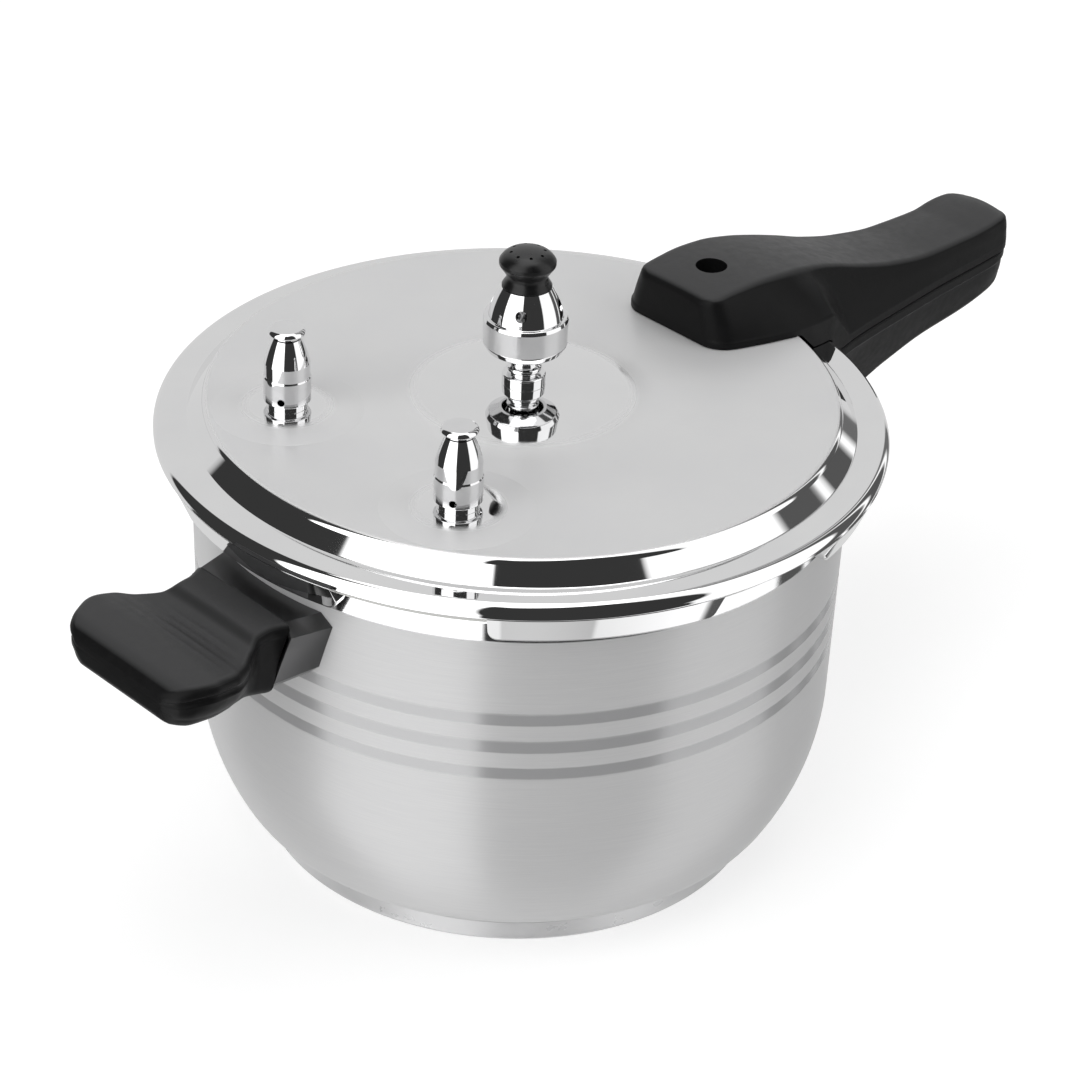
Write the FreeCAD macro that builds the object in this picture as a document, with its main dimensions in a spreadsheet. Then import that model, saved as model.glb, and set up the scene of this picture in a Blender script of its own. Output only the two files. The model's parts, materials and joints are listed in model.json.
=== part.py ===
"""Stovetop pressure cooker with a bayonet lid, as a parametric document.

Frame: the origin is the centre of the base on the surface it stands on, +Z is up and +X runs along the two
long handles. All lengths are millimetres and all angles are degrees. Every sub-part is one object of the
document, and its sizes are bound to the cells of the sheet.
"""

import FreeCAD
import Part
import math
import os
import Sketcher
from FreeCAD import Placement, Rotation, Vector

SIZES = {
    # clad base
    "cap_foot_radius": 85.2,
    "cap_low_radius": 87.4,
    "cap_top_radius": 89.4,
    "cap_round": 2.2,
    "cap_top": 9.4,
    "cap_sheet": 0.8,
    "cap_arc": 2.3,
    "core_gap": 0.1,
    "core_inset": 0.2,
    # pot shell
    "pot_wall": 1.6,
    "pot_foot_radius": 84.0,
    "pot_foot_z": 9.6,
    "pot_corner": 16.0,
    "belly_radius": 109.0,
    "belly_z": 60.0,
    "neck_radius": 110.4,
    "neck_z": 141.0,
    "rim_radius": 112.2,
    "rim_low": 142.7,
    "rim_top": 146.2,
    "lug_low_radius": 115.9,
    "lug_top_radius": 117.3,
    "lug_span": 22.0,
    "cut_spare": 1.0,
    # lid shell
    "claws": 6,
    "claw_span": 36.0,
    "lid_top": 162.0,
    "lid_sheet": 2.0,
    "boss_radius": 8.5,
    "boss_foot_radius": 42.0,
    "boss_rise": 3.9,
    "boss_arc": 188.0,
    "crown_radius": 104.6,
    "crown_round": 1.8,
    "step_radius": 111.6,
    "flange_z": 155.2,
    "flange_radius": 119.3,
    "bead_radius": 122.5,
    "bead_round": 3.4,
    "bead_z": 151.6,
    "skirt_z": 149.8,
    "claw_radius": 118.4,
    "claw_z": 139.9,
    "claw_round": 1.0,
    "claw_bevel": 0.8,
    "crown_arc": 2.16,
    "skin_draft": 0.6,
    "flange_arc": 3.8,
    "hook_radius": 112.6,
    "hook_top": 142.2,
    # sealing ring
    "ring_inner": 107.4,
    "ring_outer": 118.0,
    "ring_gap": 0.3,
    "ring_head_gap": 0.5,
    "ring_slot_low": 148.6,
    "ring_slot_high": 150.4,
    "ring_slot_depth": 7.0,
    # fittings that pass through the lid
    "shank_radius": 5.0,
    "hole_radius": 5.2,
    "gasket_radius": 8.2,
    "gasket_thick": 1.5,
    "nut_flats": 15.0,
    "nut_thick": 4.5,
    "shank_low": -12.0,
    "fit_gap": 0.2,
    # vent pipe and anti-block screen
    "vent_bore": 1.5,
    "vent_foot_radius": 7.3,
    "vent_foot_top": 7.9,
    "vent_pipe_radius": 4.7,
    "vent_ring_radius": 5.8,
    "vent_ring_low": 8.4,
    "vent_ring_pitch": 3.9,
    "vent_ring_height": 2.8,
    "vent_ring_bevel": 0.7,
    "vent_neck_top": 17.0,
    "vent_top": 22.4,
    "vent_tip_radius": 3.4,
    "screen_radius": 11.0,
    "screen_low": -19.0,
    "screen_height": 8.0,
    "screen_sheet": 0.8,
    "screen_hole": 1.2,
    "screen_hole_radius": 6.6,
    "screen_holes": 8,
    # regulator weight
    "bell_mouth_z": 15.1,
    "bell_mouth_radius": 8.8,
    "bell_shoulder_z": 17.2,
    "bell_shoulder_radius": 12.9,
    "bell_shoulder_round": 2.8,
    "bell_low_z": 19.5,
    "bell_radius": 14.1,
    "bell_ring_z": 28.0,
    "bell_ring_top": 29.3,
    "bell_cone_radius": 12.5,
    "bell_cone_round": 34.0,
    "bell_neck_radius": 8.5,
    "bell_top": 39.9,
    "bell_cavity_radius": 7.6,
    "bell_cavity_top": 27.0,
    "bell_hole": 1.9,
    "bell_hole_start": 6.08,
    "bell_hole_z": 33.7,
    "bell_holes": 4,
    "bell_turn": 38.0,
    "needle_radius": 2.6,
    "needle_tip": 22.2,
    "needle_seat": 22.8,
    "needle_gap": 0.1,
    "needle_point": 0.9,
    "cap_neck_z": 43.5,
    "cap_neck_radius": 6.5,
    "cap_disc_z": 48.8,
    "cap_disc_radius": 9.4,
    "cap_top_z": 53.0,
    "cap_crown_radius": 5.6,
    "cap_crown_drop": 0.8,
    "cap_round_edge": 6.5,
    # safety valves, on either side of the handles' line, each on a low boss
    "valve_radius": 78.8,
    "valve_a_angle": 148.0,
    "valve_b_angle": -148.0,
    "valve_boss_radius": 9.0,
    "valve_boss_foot": 25.0,
    "valve_boss_rise": 1.2,
    "valve_boss_arc": 107.0,
    "valve_face_angle": -145.0,
    "seat_radius": 6.8,
    "seat_rise": 2.4,
    "seat_bore": 2.2,
    "housing_radius": 7.9,
    "housing_waist": 11.2,
    "housing_shoulder": 16.2,
    "housing_shoulder_radius": 7.6,
    "housing_top": 25.0,
    "housing_neck_radius": 4.6,
    "housing_arc": 45.0,
    "housing_wall": 1.0,
    "housing_roof": 20.0,
    "housing_hole": 1.25,
    "housing_hole_z": 4.6,
    "stem_radius": 1.5,
    "stem_gap": 0.3,
    "poppet_radius": 4.0,
    "poppet_low": 2.6,
    "poppet_top": 4.6,
    "head_low": 25.4,
    "head_radius": 6.1,
    "head_bevel": 1.4,
    "head_crown": 4.9,
    "head_crown_drop": 0.4,
    "head_round": 2.0,
    "head_top": 28.9,
    "spring_radius": 3.0,
    "spring_wire": 0.45,
    "spring_low": 5.2,
    "spring_high": 19.4,
    "spring_turns": 6,
    # float valve under the lid handle's window
    "float_x": 88.0,
    "float_rod": 2.0,
    "float_gap": 0.25,
    "float_shank_low": -10.0,
    "float_disc_thick": 1.8,
    "float_bush_radius": 6.4,
    "float_bush_rise": 4.0,
    "float_head_radius": 4.0,
    "float_bevel": 0.6,
    "float_head_low": 6.5,
    "float_head_top": 11.5,
    "float_tail": -18.5,
    "float_disc_radius": 4.5,
    "float_travel": 5.0,
    "clip_radius": 3.4,
    "clip_thick": 0.8,
    # lid handle and its bracket
    "seam_high": 147.4,
    "handle_gap": 0.3,
    "handle_edge": 2.4,
    "handle_edge_drop": 0.8,
    "window_radius": 5.5,
    "window_bore": 8.0,
    "window_floor": 173.5,
    "clear_inside": 40.0,
    "bar_start": 74.0,
    "bar_end": 140.0,
    "bar_half": 9.5,
    "bar_thick": 2.5,
    "bar_low": 163.0,
    "bar_foot_end": 104.0,
    "weld_gap": 0.05,
    "screw_radius": 2.0,
    "screw_head_radius": 3.6,
    "screw_head_thick": 2.6,
    "lid_screw_x": 131.0,
    "lid_screw_half": 6.0,
    "screw_recess": 4.0,
    "recess_reach": 10.0,
    "screw_spare": 3.0,
    "screw_sink": 0.8,
    # pot handle and its bracket
    "seam_low": 146.6,
    "claw_clearance": 123.3,
    "claw_floor": 138.9,
    "pot_handle_edge": 3.0,
    "pot_handle_round": 2.4,
    "pot_handle_lip": 2.0,
    "plate_half": 15.0,
    "plate_low": 108.0,
    "plate_high": 134.0,
    "plate_start": 108.0,
    "plate_end": 112.6,
    "tongue_half": 8.0,
    "tongue_low": 122.0,
    "tongue_high": 126.0,
    "tongue_end": 158.0,
    "pot_screw_low": 114.0,
    "pot_screw_x": 146.0,
    # helper handle, its guard and its bracket
    "guard_start": 105.6,
    "guard_end": 127.0,
    "guard_low": 106.4,
    "guard_high": 131.4,
    "guard_sheet": 0.8,
    "guard_wall_low_half": 23.0,
    "guard_wall_high_half": 28.4,
    "guard_low_half": 21.2,
    "guard_high_half": 23.4,
    "guard_corner": 4.0,
    "collar_high_x": 119.4,
    "collar_low_x": 126.0,
    "helper_plate_high": 130.0,
    "helper_tongue_low": 119.0,
    "helper_tongue_high": 122.0,
    "helper_tongue_end": 150.0,
    "helper_screw_low": 110.6,
    "helper_screw_x": 142.0,
    "helper_edge": 2.0,
}

# Cross-sections of the lid handle along +X: x, height of the top face's edge, half-width there,
# height of the knee where the flank meets the side, half-width at the knee.
LID_HANDLE_STATIONS = (
    (69.0, 178.8, 19.0, 163.5, 22.0),
    (80.0, 180.0, 19.4, 163.0, 26.2),
    (90.0, 180.4, 19.8, 162.5, 29.4),
    (101.0, 179.8, 19.8, 160.0, 32.0),
    (113.0, 178.0, 18.8, 155.5, 32.6),
    (124.0, 175.4, 17.6, 151.0, 30.2),
    (136.0, 171.8, 16.7, 149.5, 27.4),
    (150.0, 167.0, 16.2, 149.5, 25.2),
    (168.0, 162.2, 16.2, 149.5, 22.8),
    (190.0, 159.0, 15.8, 149.5, 20.0),
    (212.0, 158.6, 15.4, 149.5, 18.0),
    (222.0, 159.6, 15.8, 149.5, 17.0),
    (230.0, 160.2, 15.0, 149.5, 15.8),
    (235.0, 159.5, 12.0, 149.5, 12.8),
    (237.5, 157.5, 8.0, 149.5, 8.8),
)

# Cross-sections of the pot handle along +X: x, height of the underside, half-width there,
# half-width at the top face.
POT_HANDLE_STATIONS = (
    (113.4, 103.0, 13.0, 24.0),
    (124.0, 105.0, 14.0, 29.6),
    (136.0, 109.0, 15.0, 27.4),
    (150.0, 114.0, 15.4, 25.2),
    (168.0, 120.0, 15.2, 22.8),
    (190.0, 124.2, 14.2, 20.0),
    (212.0, 126.0, 13.0, 17.8),
    (226.0, 127.6, 11.6, 16.2),
    (234.5, 129.0, 9.6, 12.8),
    (237.5, 131.5, 6.2, 8.8),
)

# Cross-sections of the helper handle, outwards along -X: distance from the axis, underside, half-width
# there, height of the top face, half-width there.
HELPER_STATIONS = (
    (118.0, 106.2, 21.6, 131.2, 24.4),
    (126.0, 106.6, 21.6, 131.0, 21.4),
    (130.0, 107.5, 21.4, 130.5, 21.4),
    (135.0, 109.0, 21.8, 128.0, 24.0),
    (141.0, 110.5, 24.0, 127.5, 28.5),
    (148.0, 112.0, 27.0, 129.0, 32.5),
    (155.0, 113.0, 28.5, 130.0, 33.5),
    (162.0, 113.5, 28.0, 129.5, 31.0),
    (167.0, 114.5, 25.0, 128.0, 27.5),
    (169.5, 116.5, 21.0, 126.0, 23.0),
)

VALVES = ("a", "b")

doc = FreeCAD.newDocument("PressureCooker")
sheet = doc.addObject("Spreadsheet::Sheet", "sheet")
parts = []


class Size:
    """A number together with the sheet expression that gives it."""

    def __init__(self, value, text):
        self.value = value
        self.text = text

    def __add__(self, other):
        other = as_size(other)
        return Size(self.value + other.value, f"({self.text} + {other.text})")

    def __sub__(self, other):
        other = as_size(other)
        return Size(self.value - other.value, f"({self.text} - {other.text})")

    def __mul__(self, other):
        other = as_size(other)
        return Size(self.value * other.value, f"({self.text} * {other.text})")

    def __truediv__(self, other):
        other = as_size(other)
        return Size(self.value / other.value, f"({self.text} / {other.text})")

    def __neg__(self):
        return Size(-self.value, f"(0 - {self.text})")

    def root(self):
        return Size(math.sqrt(self.value), f"sqrt({self.text})")


def as_size(number):
    """A plain number becomes a Size; a Size stays as it is."""
    return number if isinstance(number, Size) else Size(float(number), repr(float(number)))


def fill_sheet():
    """Write the sizes and the stations to the sheet and give each cell its alias."""
    cells = dict(SIZES)
    for prefix, names, stations in STATION_TABLES:
        for number, station in enumerate(stations, 1):
            for name, value in zip(names, station):
                cells[f"{prefix}_{name}_{number}"] = value
    for row, (alias, value) in enumerate(cells.items(), 1):
        sheet.set(f"A{row}", alias)
        sheet.set(f"B{row}", str(value))
        sheet.setAlias(f"B{row}", alias)
    doc.recompute()
    return {alias: Size(float(value), f"sheet.{alias}") for alias, value in cells.items()}


STATION_TABLES = (
    ("lid_handle", ("x", "edge", "half", "knee", "side"), LID_HANDLE_STATIONS),
    ("pot_handle", ("x", "low", "half", "side"), POT_HANDLE_STATIONS),
    ("helper", ("x", "low", "half", "edge", "side"), HELPER_STATIONS),
)
dim = fill_sheet()


def bind(thing, path, size):
    """Bind one property of an object to a size's expression."""
    thing.setExpression(path, as_size(size).text)


def new_body(label):
    """A body for one sub-part."""
    body = doc.addObject("PartDesign::Body", label)
    body.Label = label
    parts.append(body)
    return body


def origin_feature(body, role):
    """One of a body's own origin planes or axes."""
    for feature in body.Origin.OriginFeatures:
        if feature.Role == role:
            return feature
    raise LookupError(role)


def place(thing, x=None, y=None, z=None):
    """Bind an object's position to the sheet."""
    for axis, size in (("x", x), ("y", y), ("z", z)):
        if size is not None:
            bind(thing, f".Placement.Base.{axis}", size)


def new_sketch(body, name, role, offset=None, turn=0.0, shift=None):
    """A sketch on one of the body's origin planes.

    It can be moved along the plane's normal and along its own across direction, and turned about its upright.
    """
    sketch = body.newObject("Sketcher::SketchObject", name)
    sketch.AttachmentSupport = [(origin_feature(body, role), "")]
    sketch.MapMode = "FlatFace"
    across = as_size(0 if shift is None else shift)
    outwards = as_size(0 if offset is None else offset)
    offset = Vector(across.value, 0, outwards.value)
    sketch.AttachmentOffset = Placement(offset, Rotation(Vector(0, 1, 0), turn))
    bind(sketch, ".AttachmentOffset.Base.x", across)
    bind(sketch, ".AttachmentOffset.Base.z", outwards)
    return sketch


def pin_point(sketch, edge, end, across, up):
    """Fix one end of an edge at a place measured from the sketch's origin."""
    for kind, axis_line, size in (("DistanceX", -2, across), ("DistanceY", -1, up)):
        if size.value == 0.0:
            sketch.addConstraint(Sketcher.Constraint("PointOnObject", edge, end, axis_line))
        else:
            index = sketch.addConstraint(Sketcher.Constraint(kind, -1, 1, edge, end, size.value))
            sketch.setExpression(f"Constraints[{index}]", size.text)


def outline(sketch, vertices):
    """Draw a closed outline of straight and round edges.

    A vertex is (across, up) or (across, up, radius): then its arriving edge is an arc, counter-clockwise
    for a positive radius and clockwise for a negative one.
    """
    corners = [(as_size(v[0]), as_size(v[1])) for v in vertices]
    ends = []
    for index, vertex in enumerate(vertices):
        start = Vector(corners[index - 1][0].value, corners[index - 1][1].value, 0)
        stop = Vector(corners[index][0].value, corners[index][1].value, 0)
        if len(vertex) == 2:
            edge = sketch.addGeometry(Part.LineSegment(start, stop), False)
            ends.append((edge, 1, 2))
            continue
        radius = as_size(vertex[2])
        forwards = radius.value > 0
        first, last = (start, stop) if forwards else (stop, start)
        chord = last - first
        sideways = Vector(-chord.y, chord.x, 0).normalize()
        reach = math.sqrt(max(radius.value ** 2 - (chord.Length / 2) ** 2, 0.0))
        centre = (first + last) * 0.5 + sideways * reach
        begin = math.atan2(first.y - centre.y, first.x - centre.x)
        finish = math.atan2(last.y - centre.y, last.x - centre.x)
        circle = Part.Circle(centre, Vector(0, 0, 1), abs(radius.value))
        edge = sketch.addGeometry(Part.ArcOfCircle(circle, begin, finish), False)
        ends.append((edge, 1, 2) if forwards else (edge, 2, 1))
        index_radius = sketch.addConstraint(Sketcher.Constraint("Radius", edge, abs(radius.value)))
        sketch.setExpression(f"Constraints[{index_radius}]", radius.text if forwards else (-radius).text)
    for index, (across, up) in enumerate(corners):
        edge, _, stop_end = ends[index]
        following, start_end, _ = ends[(index + 1) % len(ends)]
        sketch.addConstraint(Sketcher.Constraint("Coincident", edge, stop_end, following, start_end))
        pin_point(sketch, edge, stop_end, across, up)
    return sketch


def rectangle(sketch, low_across, high_across, low_up, high_up):
    """Draw a rectangle between two places on each axis of a sketch."""
    corners = ((low_across, low_up), (high_across, low_up), (high_across, high_up), (low_across, high_up))
    return outline(sketch, corners)


def circle(sketch, across, up, radius):
    """Draw a circle in a sketch."""
    across, up, radius = as_size(across), as_size(up), as_size(radius)
    centre = Vector(across.value, up.value, 0)
    edge = sketch.addGeometry(Part.Circle(centre, Vector(0, 0, 1), radius.value), False)
    index = sketch.addConstraint(Sketcher.Constraint("Radius", edge, radius.value))
    sketch.setExpression(f"Constraints[{index}]", radius.text)
    pin_point(sketch, edge, 3, across, up)
    return sketch


def revolve(body, name, vertices, cut=False, span=None, turn=0.0, axis_at=None):
    """Turn an upright outline about a vertical axis, as a solid or as a cut, over a whole turn or a span.

    The axis is the body's own Z axis unless another place is given for it.
    """
    across, along = (as_size(0), as_size(0)) if axis_at is None else axis_at
    sketch = new_sketch(body, name + "_outline", "XZ_Plane", offset=-along, turn=turn, shift=across)
    outline(sketch, vertices)
    feature = body.newObject("PartDesign::Groove" if cut else "PartDesign::Revolution", name)
    feature.Profile = (sketch, [""])
    feature.ReferenceAxis = (sketch, ["V_Axis"])
    feature.Angle = 360.0
    if span is not None:
        feature.Midplane = True
        bind(feature, "Angle", span)
    body.Tip = feature
    return feature


def repeat_round(body, name, feature, count):
    """Repeat a feature about the body's Z axis."""
    pattern = body.newObject("PartDesign::PolarPattern", name)
    pattern.Originals = [feature]
    pattern.Axis = (origin_feature(body, "Z_Axis"), [""])
    pattern.Angle = 360.0
    bind(pattern, "Occurrences", count)
    body.Tip = pattern
    return pattern


def pad(body, name, sketch, length):
    """Pad a sketch along its normal."""
    feature = body.newObject("PartDesign::Pad", name)
    feature.Profile = (sketch, [""])
    bind(feature, "Length", length)
    body.Tip = feature
    return feature


def pocket(body, name, sketch, length, both_ways=False):
    """Cut a sketch into the body, along its normal or equally to both sides."""
    feature = body.newObject("PartDesign::Pocket", name)
    feature.Profile = (sketch, [""])
    bind(feature, "Length", length)
    feature.Midplane = both_ways
    feature.Reversed = not both_ways
    body.Tip = feature
    return feature


def bore(body, name, sketch):
    """Cut a sketch right through all that lies on its normal's side."""
    feature = body.newObject("PartDesign::Pocket", name)
    feature.Profile = (sketch, [""])
    feature.Type = "ThroughAll"
    feature.Reversed = True
    body.Tip = feature
    return feature


def blind_hole(body, name, across, along, radius, low, high):
    """Cut an upright round hole between two heights."""
    sketch = new_sketch(body, name + "_outline", "XY_Plane", offset=low)
    circle(sketch, across, along, radius)
    return pocket(body, name, sketch, as_size(high) - low)


def loft(body, name, sketches, cut=False):
    """Loft straight from each cross-section to the next, as a solid or as a cut."""
    feature = body.newObject("PartDesign::SubtractiveLoft" if cut else "PartDesign::AdditiveLoft", name)
    feature.Profile = (sketches[0], [""])
    feature.Sections = [(sketch, [""]) for sketch in sketches[1:]]
    feature.Ruled = True
    body.Tip = feature
    return feature


def lengthwise_box(body, name, start, end, half, low, high, cut=False):
    """A box along X between two distances from the axis, or the same as a cut."""
    sketch = rectangle(new_sketch(body, name + "_outline", "YZ_Plane", offset=start), -half, half, low, high)
    if cut:
        return pocket(body, name, sketch, as_size(end) - start)
    return pad(body, name, sketch, as_size(end) - start)


def washer(label, inner, outer, low, high):
    """A flat ring between two heights."""
    body = new_body(label)
    revolve(body, label + "_turned", ((inner, low), (outer, low), (outer, high), (inner, high)))
    return body


def lid_gasket(label, high):
    """Gasket under the lid's sheet; the height is that of its top face."""
    return washer(label, dim["hole_radius"], dim["gasket_radius"], high - dim["gasket_thick"], high)


def hex_nut(label, top):
    """A hexagon nut on a fitting's shank; the height is that of its top face."""
    body = new_body(label)
    sketch = new_sketch(body, label + "_outline", "XY_Plane", offset=top - dim["nut_thick"])
    corner = dim["nut_flats"] * (1 / math.sqrt(3))
    half = corner / 2
    flat = dim["nut_flats"] / 2
    outline(sketch, ((corner, 0), (half, flat), (-half, flat), (-corner, 0), (-half, -flat), (half, -flat)))
    circle(sketch, 0, 0, dim["hole_radius"])
    pad(body, label + "_pad", sketch, dim["nut_thick"])
    return body


def base_cap():
    """Stainless cap pressed over the aluminium disc under the pot."""
    body = new_body("base_cap")
    sheet_thick = dim["cap_sheet"]
    revolve(body, "base_cap_turned", (
        (0, 0),
        (dim["cap_foot_radius"], 0),
        (dim["cap_low_radius"], dim["cap_round"], dim["cap_arc"]),
        (dim["cap_top_radius"], dim["cap_top"]),
        (dim["cap_top_radius"] - sheet_thick, dim["cap_top"]),
        (dim["cap_low_radius"] - sheet_thick, dim["cap_round"]),
        (dim["cap_foot_radius"], sheet_thick),
        (0, sheet_thick),
    ))


def base_core():
    """Aluminium disc that spreads the heat."""
    body = new_body("base_core")
    inset = dim["cap_sheet"] + dim["core_gap"]
    revolve(body, "base_core_turned", (
        (0, inset),
        (dim["cap_foot_radius"] - dim["core_inset"], inset),
        (dim["cap_low_radius"] - inset, dim["cap_round"] + dim["core_inset"]),
        (dim["cap_top_radius"] - inset, dim["cap_top"]),
        (0, dim["cap_top"]),
    ))


def corner_arcs(inset):
    """Radii of the pot's two tangent corner arcs and the point where they meet, for a wall inset."""
    rise = dim["belly_z"] - dim["pot_foot_z"]
    run = dim["belly_radius"] - dim["pot_foot_radius"]
    small = dim["pot_corner"]
    drop = rise - small
    large = (run * run + drop * drop - small * small) / ((run - small) * 2)
    share = (large - inset) / (large - small)
    join_across = dim["belly_radius"] - large + (large - run) * share
    join_up = dim["belly_z"] - drop * share
    return small - inset, large - inset, join_across, join_up


def pot_shell():
    """Deep-drawn pot with a round foot and a flanged rim cut into six bayonet lugs."""
    body = new_body("pot_shell")
    spare = dim["cut_spare"]
    wall = dim["pot_wall"]
    small, large, join_across, join_up = corner_arcs(0)
    inner_small, inner_large, inner_across, inner_up = corner_arcs(wall)
    revolve(body, "pot_shell_turned", (
        (0, dim["pot_foot_z"]),
        (dim["pot_foot_radius"], dim["pot_foot_z"]),
        (join_across, join_up, small),
        (dim["belly_radius"], dim["belly_z"], large),
        (dim["neck_radius"], dim["neck_z"]),
        (dim["rim_radius"], dim["rim_low"]),
        (dim["lug_low_radius"], dim["rim_low"]),
        (dim["lug_top_radius"], dim["rim_top"]),
        (dim["neck_radius"] - wall, dim["rim_top"]),
        (dim["neck_radius"] - wall, dim["neck_z"]),
        (dim["belly_radius"] - wall, dim["belly_z"]),
        (inner_across, inner_up, -inner_large),
        (dim["pot_foot_radius"], dim["pot_foot_z"] + wall, -inner_small),
        (0, dim["pot_foot_z"] + wall),
    ))
    pitch = as_size(360) / dim["claws"]
    notch = revolve(body, "rim_notch", (
        (dim["rim_radius"], dim["rim_low"] - spare),
        (dim["lug_top_radius"] + spare, dim["rim_low"] - spare),
        (dim["lug_top_radius"] + spare, dim["rim_top"] + spare),
        (dim["rim_radius"], dim["rim_top"] + spare),
    ), cut=True, span=pitch - dim["lug_span"], turn=180 / SIZES["claws"])
    repeat_round(body, "rim_notches", notch, dim["claws"])


def sealing_ring():
    """Silicone ring with a lip that the pressure spreads against rim and lid."""
    body = new_body("sealing_ring")
    low = dim["rim_top"] + dim["ring_gap"]
    high = dim["flange_z"] - dim["lid_sheet"] - dim["ring_head_gap"]
    revolve(body, "sealing_ring_turned", (
        (dim["ring_inner"], low),
        (dim["ring_outer"], low),
        (dim["ring_outer"], high),
        (dim["ring_inner"], high),
        (dim["ring_inner"], dim["ring_slot_high"]),
        (dim["ring_inner"] + dim["ring_slot_depth"], dim["ring_slot_high"]),
        (dim["ring_inner"] + dim["ring_slot_depth"], dim["ring_slot_low"]),
        (dim["ring_inner"], dim["ring_slot_low"]),
    ))


def polar(radius, angle):
    """X and Y of a place given by a radius and an angle about Z."""
    turn = math.radians(angle.value)
    across = Size(radius.value * math.cos(turn), f"({radius.text} * cos({angle.text} * 1 deg))")
    along = Size(radius.value * math.sin(turn), f"({radius.text} * sin({angle.text} * 1 deg))")
    return across, along


def valve_place(letter):
    """X and Y of one safety valve."""
    return polar(dim["valve_radius"], dim[f"valve_{letter}_angle"])


def valve_boss(body, letter):
    """Low boss pressed up out of the lid under one safety valve, with the same hollow below."""
    foot = dim["valve_boss_foot"]
    top = dim["lid_top"]
    for side, height, cut in (("top", top, False), ("hollow", top - dim["lid_sheet"], True)):
        start = height - dim["lid_sheet"] / 2
        revolve(body, f"valve_boss_{letter}_{side}", (
            (0, start),
            (foot, start),
            (foot, height),
            (dim["valve_boss_radius"], height + dim["valve_boss_rise"], dim["valve_boss_arc"]),
            (0, height + dim["valve_boss_rise"]),
        ), cut=cut, axis_at=valve_place(letter))


def lid_shell():
    """Pressed lid: flat top, sloping step, flange, rolled bead and six claws that hook under the pot's lugs."""
    body = new_body("lid_shell")
    skin = dim["lid_sheet"]
    top = dim["lid_top"]
    under_flange = dim["flange_z"] - skin
    spare = dim["cut_spare"]
    revolve(body, "lid_shell_turned", (
        (0, top + dim["boss_rise"]),
        (0, top + dim["boss_rise"] - skin),
        (dim["boss_radius"], top + dim["boss_rise"] - skin),
        (dim["boss_foot_radius"], top - skin, -dim["boss_arc"]),
        (dim["crown_radius"] - spare, top - skin),
        (dim["step_radius"] - skin, under_flange),
        (dim["flange_radius"] - dim["skin_draft"], under_flange),
        (dim["bead_radius"] - skin, dim["bead_z"], -(dim["bead_round"] - skin + dim["skin_draft"])),
        (dim["bead_radius"] - skin, dim["skirt_z"]),
        (dim["claw_radius"] - skin, dim["hook_top"]),
        (dim["hook_radius"], dim["hook_top"]),
        (dim["hook_radius"], dim["claw_z"]),
        (dim["claw_radius"] - dim["claw_bevel"], dim["claw_z"]),
        (dim["claw_radius"], dim["claw_z"] + dim["claw_bevel"], dim["claw_round"]),
        (dim["bead_radius"], dim["skirt_z"]),
        (dim["bead_radius"], dim["bead_z"]),
        (dim["flange_radius"], dim["flange_z"], dim["flange_arc"]),
        (dim["step_radius"], dim["flange_z"]),
        (dim["crown_radius"] + dim["crown_round"], top - dim["crown_round"]),
        (dim["crown_radius"], top, dim["crown_arc"]),
        (dim["boss_foot_radius"], top),
        (dim["boss_radius"], top + dim["boss_rise"], dim["boss_arc"]),
    ))
    pitch = as_size(360) / dim["claws"]
    gap = revolve(body, "claw_gap", (
        (dim["hook_radius"] - spare, dim["claw_z"] - spare),
        (dim["bead_radius"] + spare, dim["claw_z"] - spare),
        (dim["bead_radius"] + spare, dim["skirt_z"]),
        (dim["hook_radius"] - spare, dim["skirt_z"]),
    ), cut=True, span=pitch - dim["claw_span"], turn=180 / SIZES["claws"])
    repeat_round(body, "claw_gaps", gap, dim["claws"])
    for letter in VALVES:
        valve_boss(body, letter)
    places = [(0, 0), (dim["float_x"], 0), *(valve_place(letter) for letter in VALVES)]
    for number, (across, along) in enumerate(places, 1):
        blind_hole(body, f"lid_hole_{number}", across, along, dim["hole_radius"], under_flange,
                   top + dim["boss_foot_radius"])


def vent_pipe():
    """Pipe that the regulator weight closes; its heights count from the lid's top."""
    body = new_body("vent_pipe")
    ring = dim["vent_ring_radius"]
    pipe = dim["vent_pipe_radius"]
    bevel = dim["vent_ring_bevel"]
    rings = []
    for low in (dim["vent_ring_low"], dim["vent_ring_low"] + dim["vent_ring_pitch"]):
        high = low + dim["vent_ring_height"]
        rings += [(pipe, low), (ring, low + bevel), (ring, high - bevel), (pipe, high)]
    revolve(body, "vent_pipe_turned", (
        (dim["vent_bore"], dim["shank_low"]),
        (dim["shank_radius"], dim["shank_low"]),
        (dim["shank_radius"], dim["boss_rise"]),
        (dim["vent_foot_radius"], dim["boss_rise"]),
        (dim["vent_foot_radius"], dim["vent_foot_top"] - bevel),
        (dim["vent_foot_radius"] - bevel, dim["vent_foot_top"]),
        (pipe, dim["vent_foot_top"]),
        *rings,
        (pipe, dim["vent_neck_top"]),
        (dim["vent_tip_radius"], dim["vent_top"] - bevel),
        (dim["vent_bore"], dim["vent_top"]),
    ))
    place(body, z=dim["lid_top"])


def anti_block_screen():
    """Perforated cup that keeps food out of the vent pipe."""
    body = new_body("anti_block_screen")
    skin = dim["screen_sheet"]
    low = dim["screen_low"]
    high = low + dim["screen_height"]
    neck = dim["shank_radius"] + dim["fit_gap"]
    revolve(body, "screen_turned", (
        (0, low),
        (dim["screen_radius"], low),
        (dim["screen_radius"], high),
        (neck, high),
        (neck, high - skin),
        (dim["screen_radius"] - skin, high - skin),
        (dim["screen_radius"] - skin, low + skin),
        (0, low + skin),
    ))
    hole = blind_hole(body, "screen_hole", dim["screen_hole_radius"], 0, dim["screen_hole"],
                      low - skin, low + skin * 2)
    repeat_round(body, "screen_holes", hole, dim["screen_holes"])
    place(body, z=dim["lid_top"])


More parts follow.
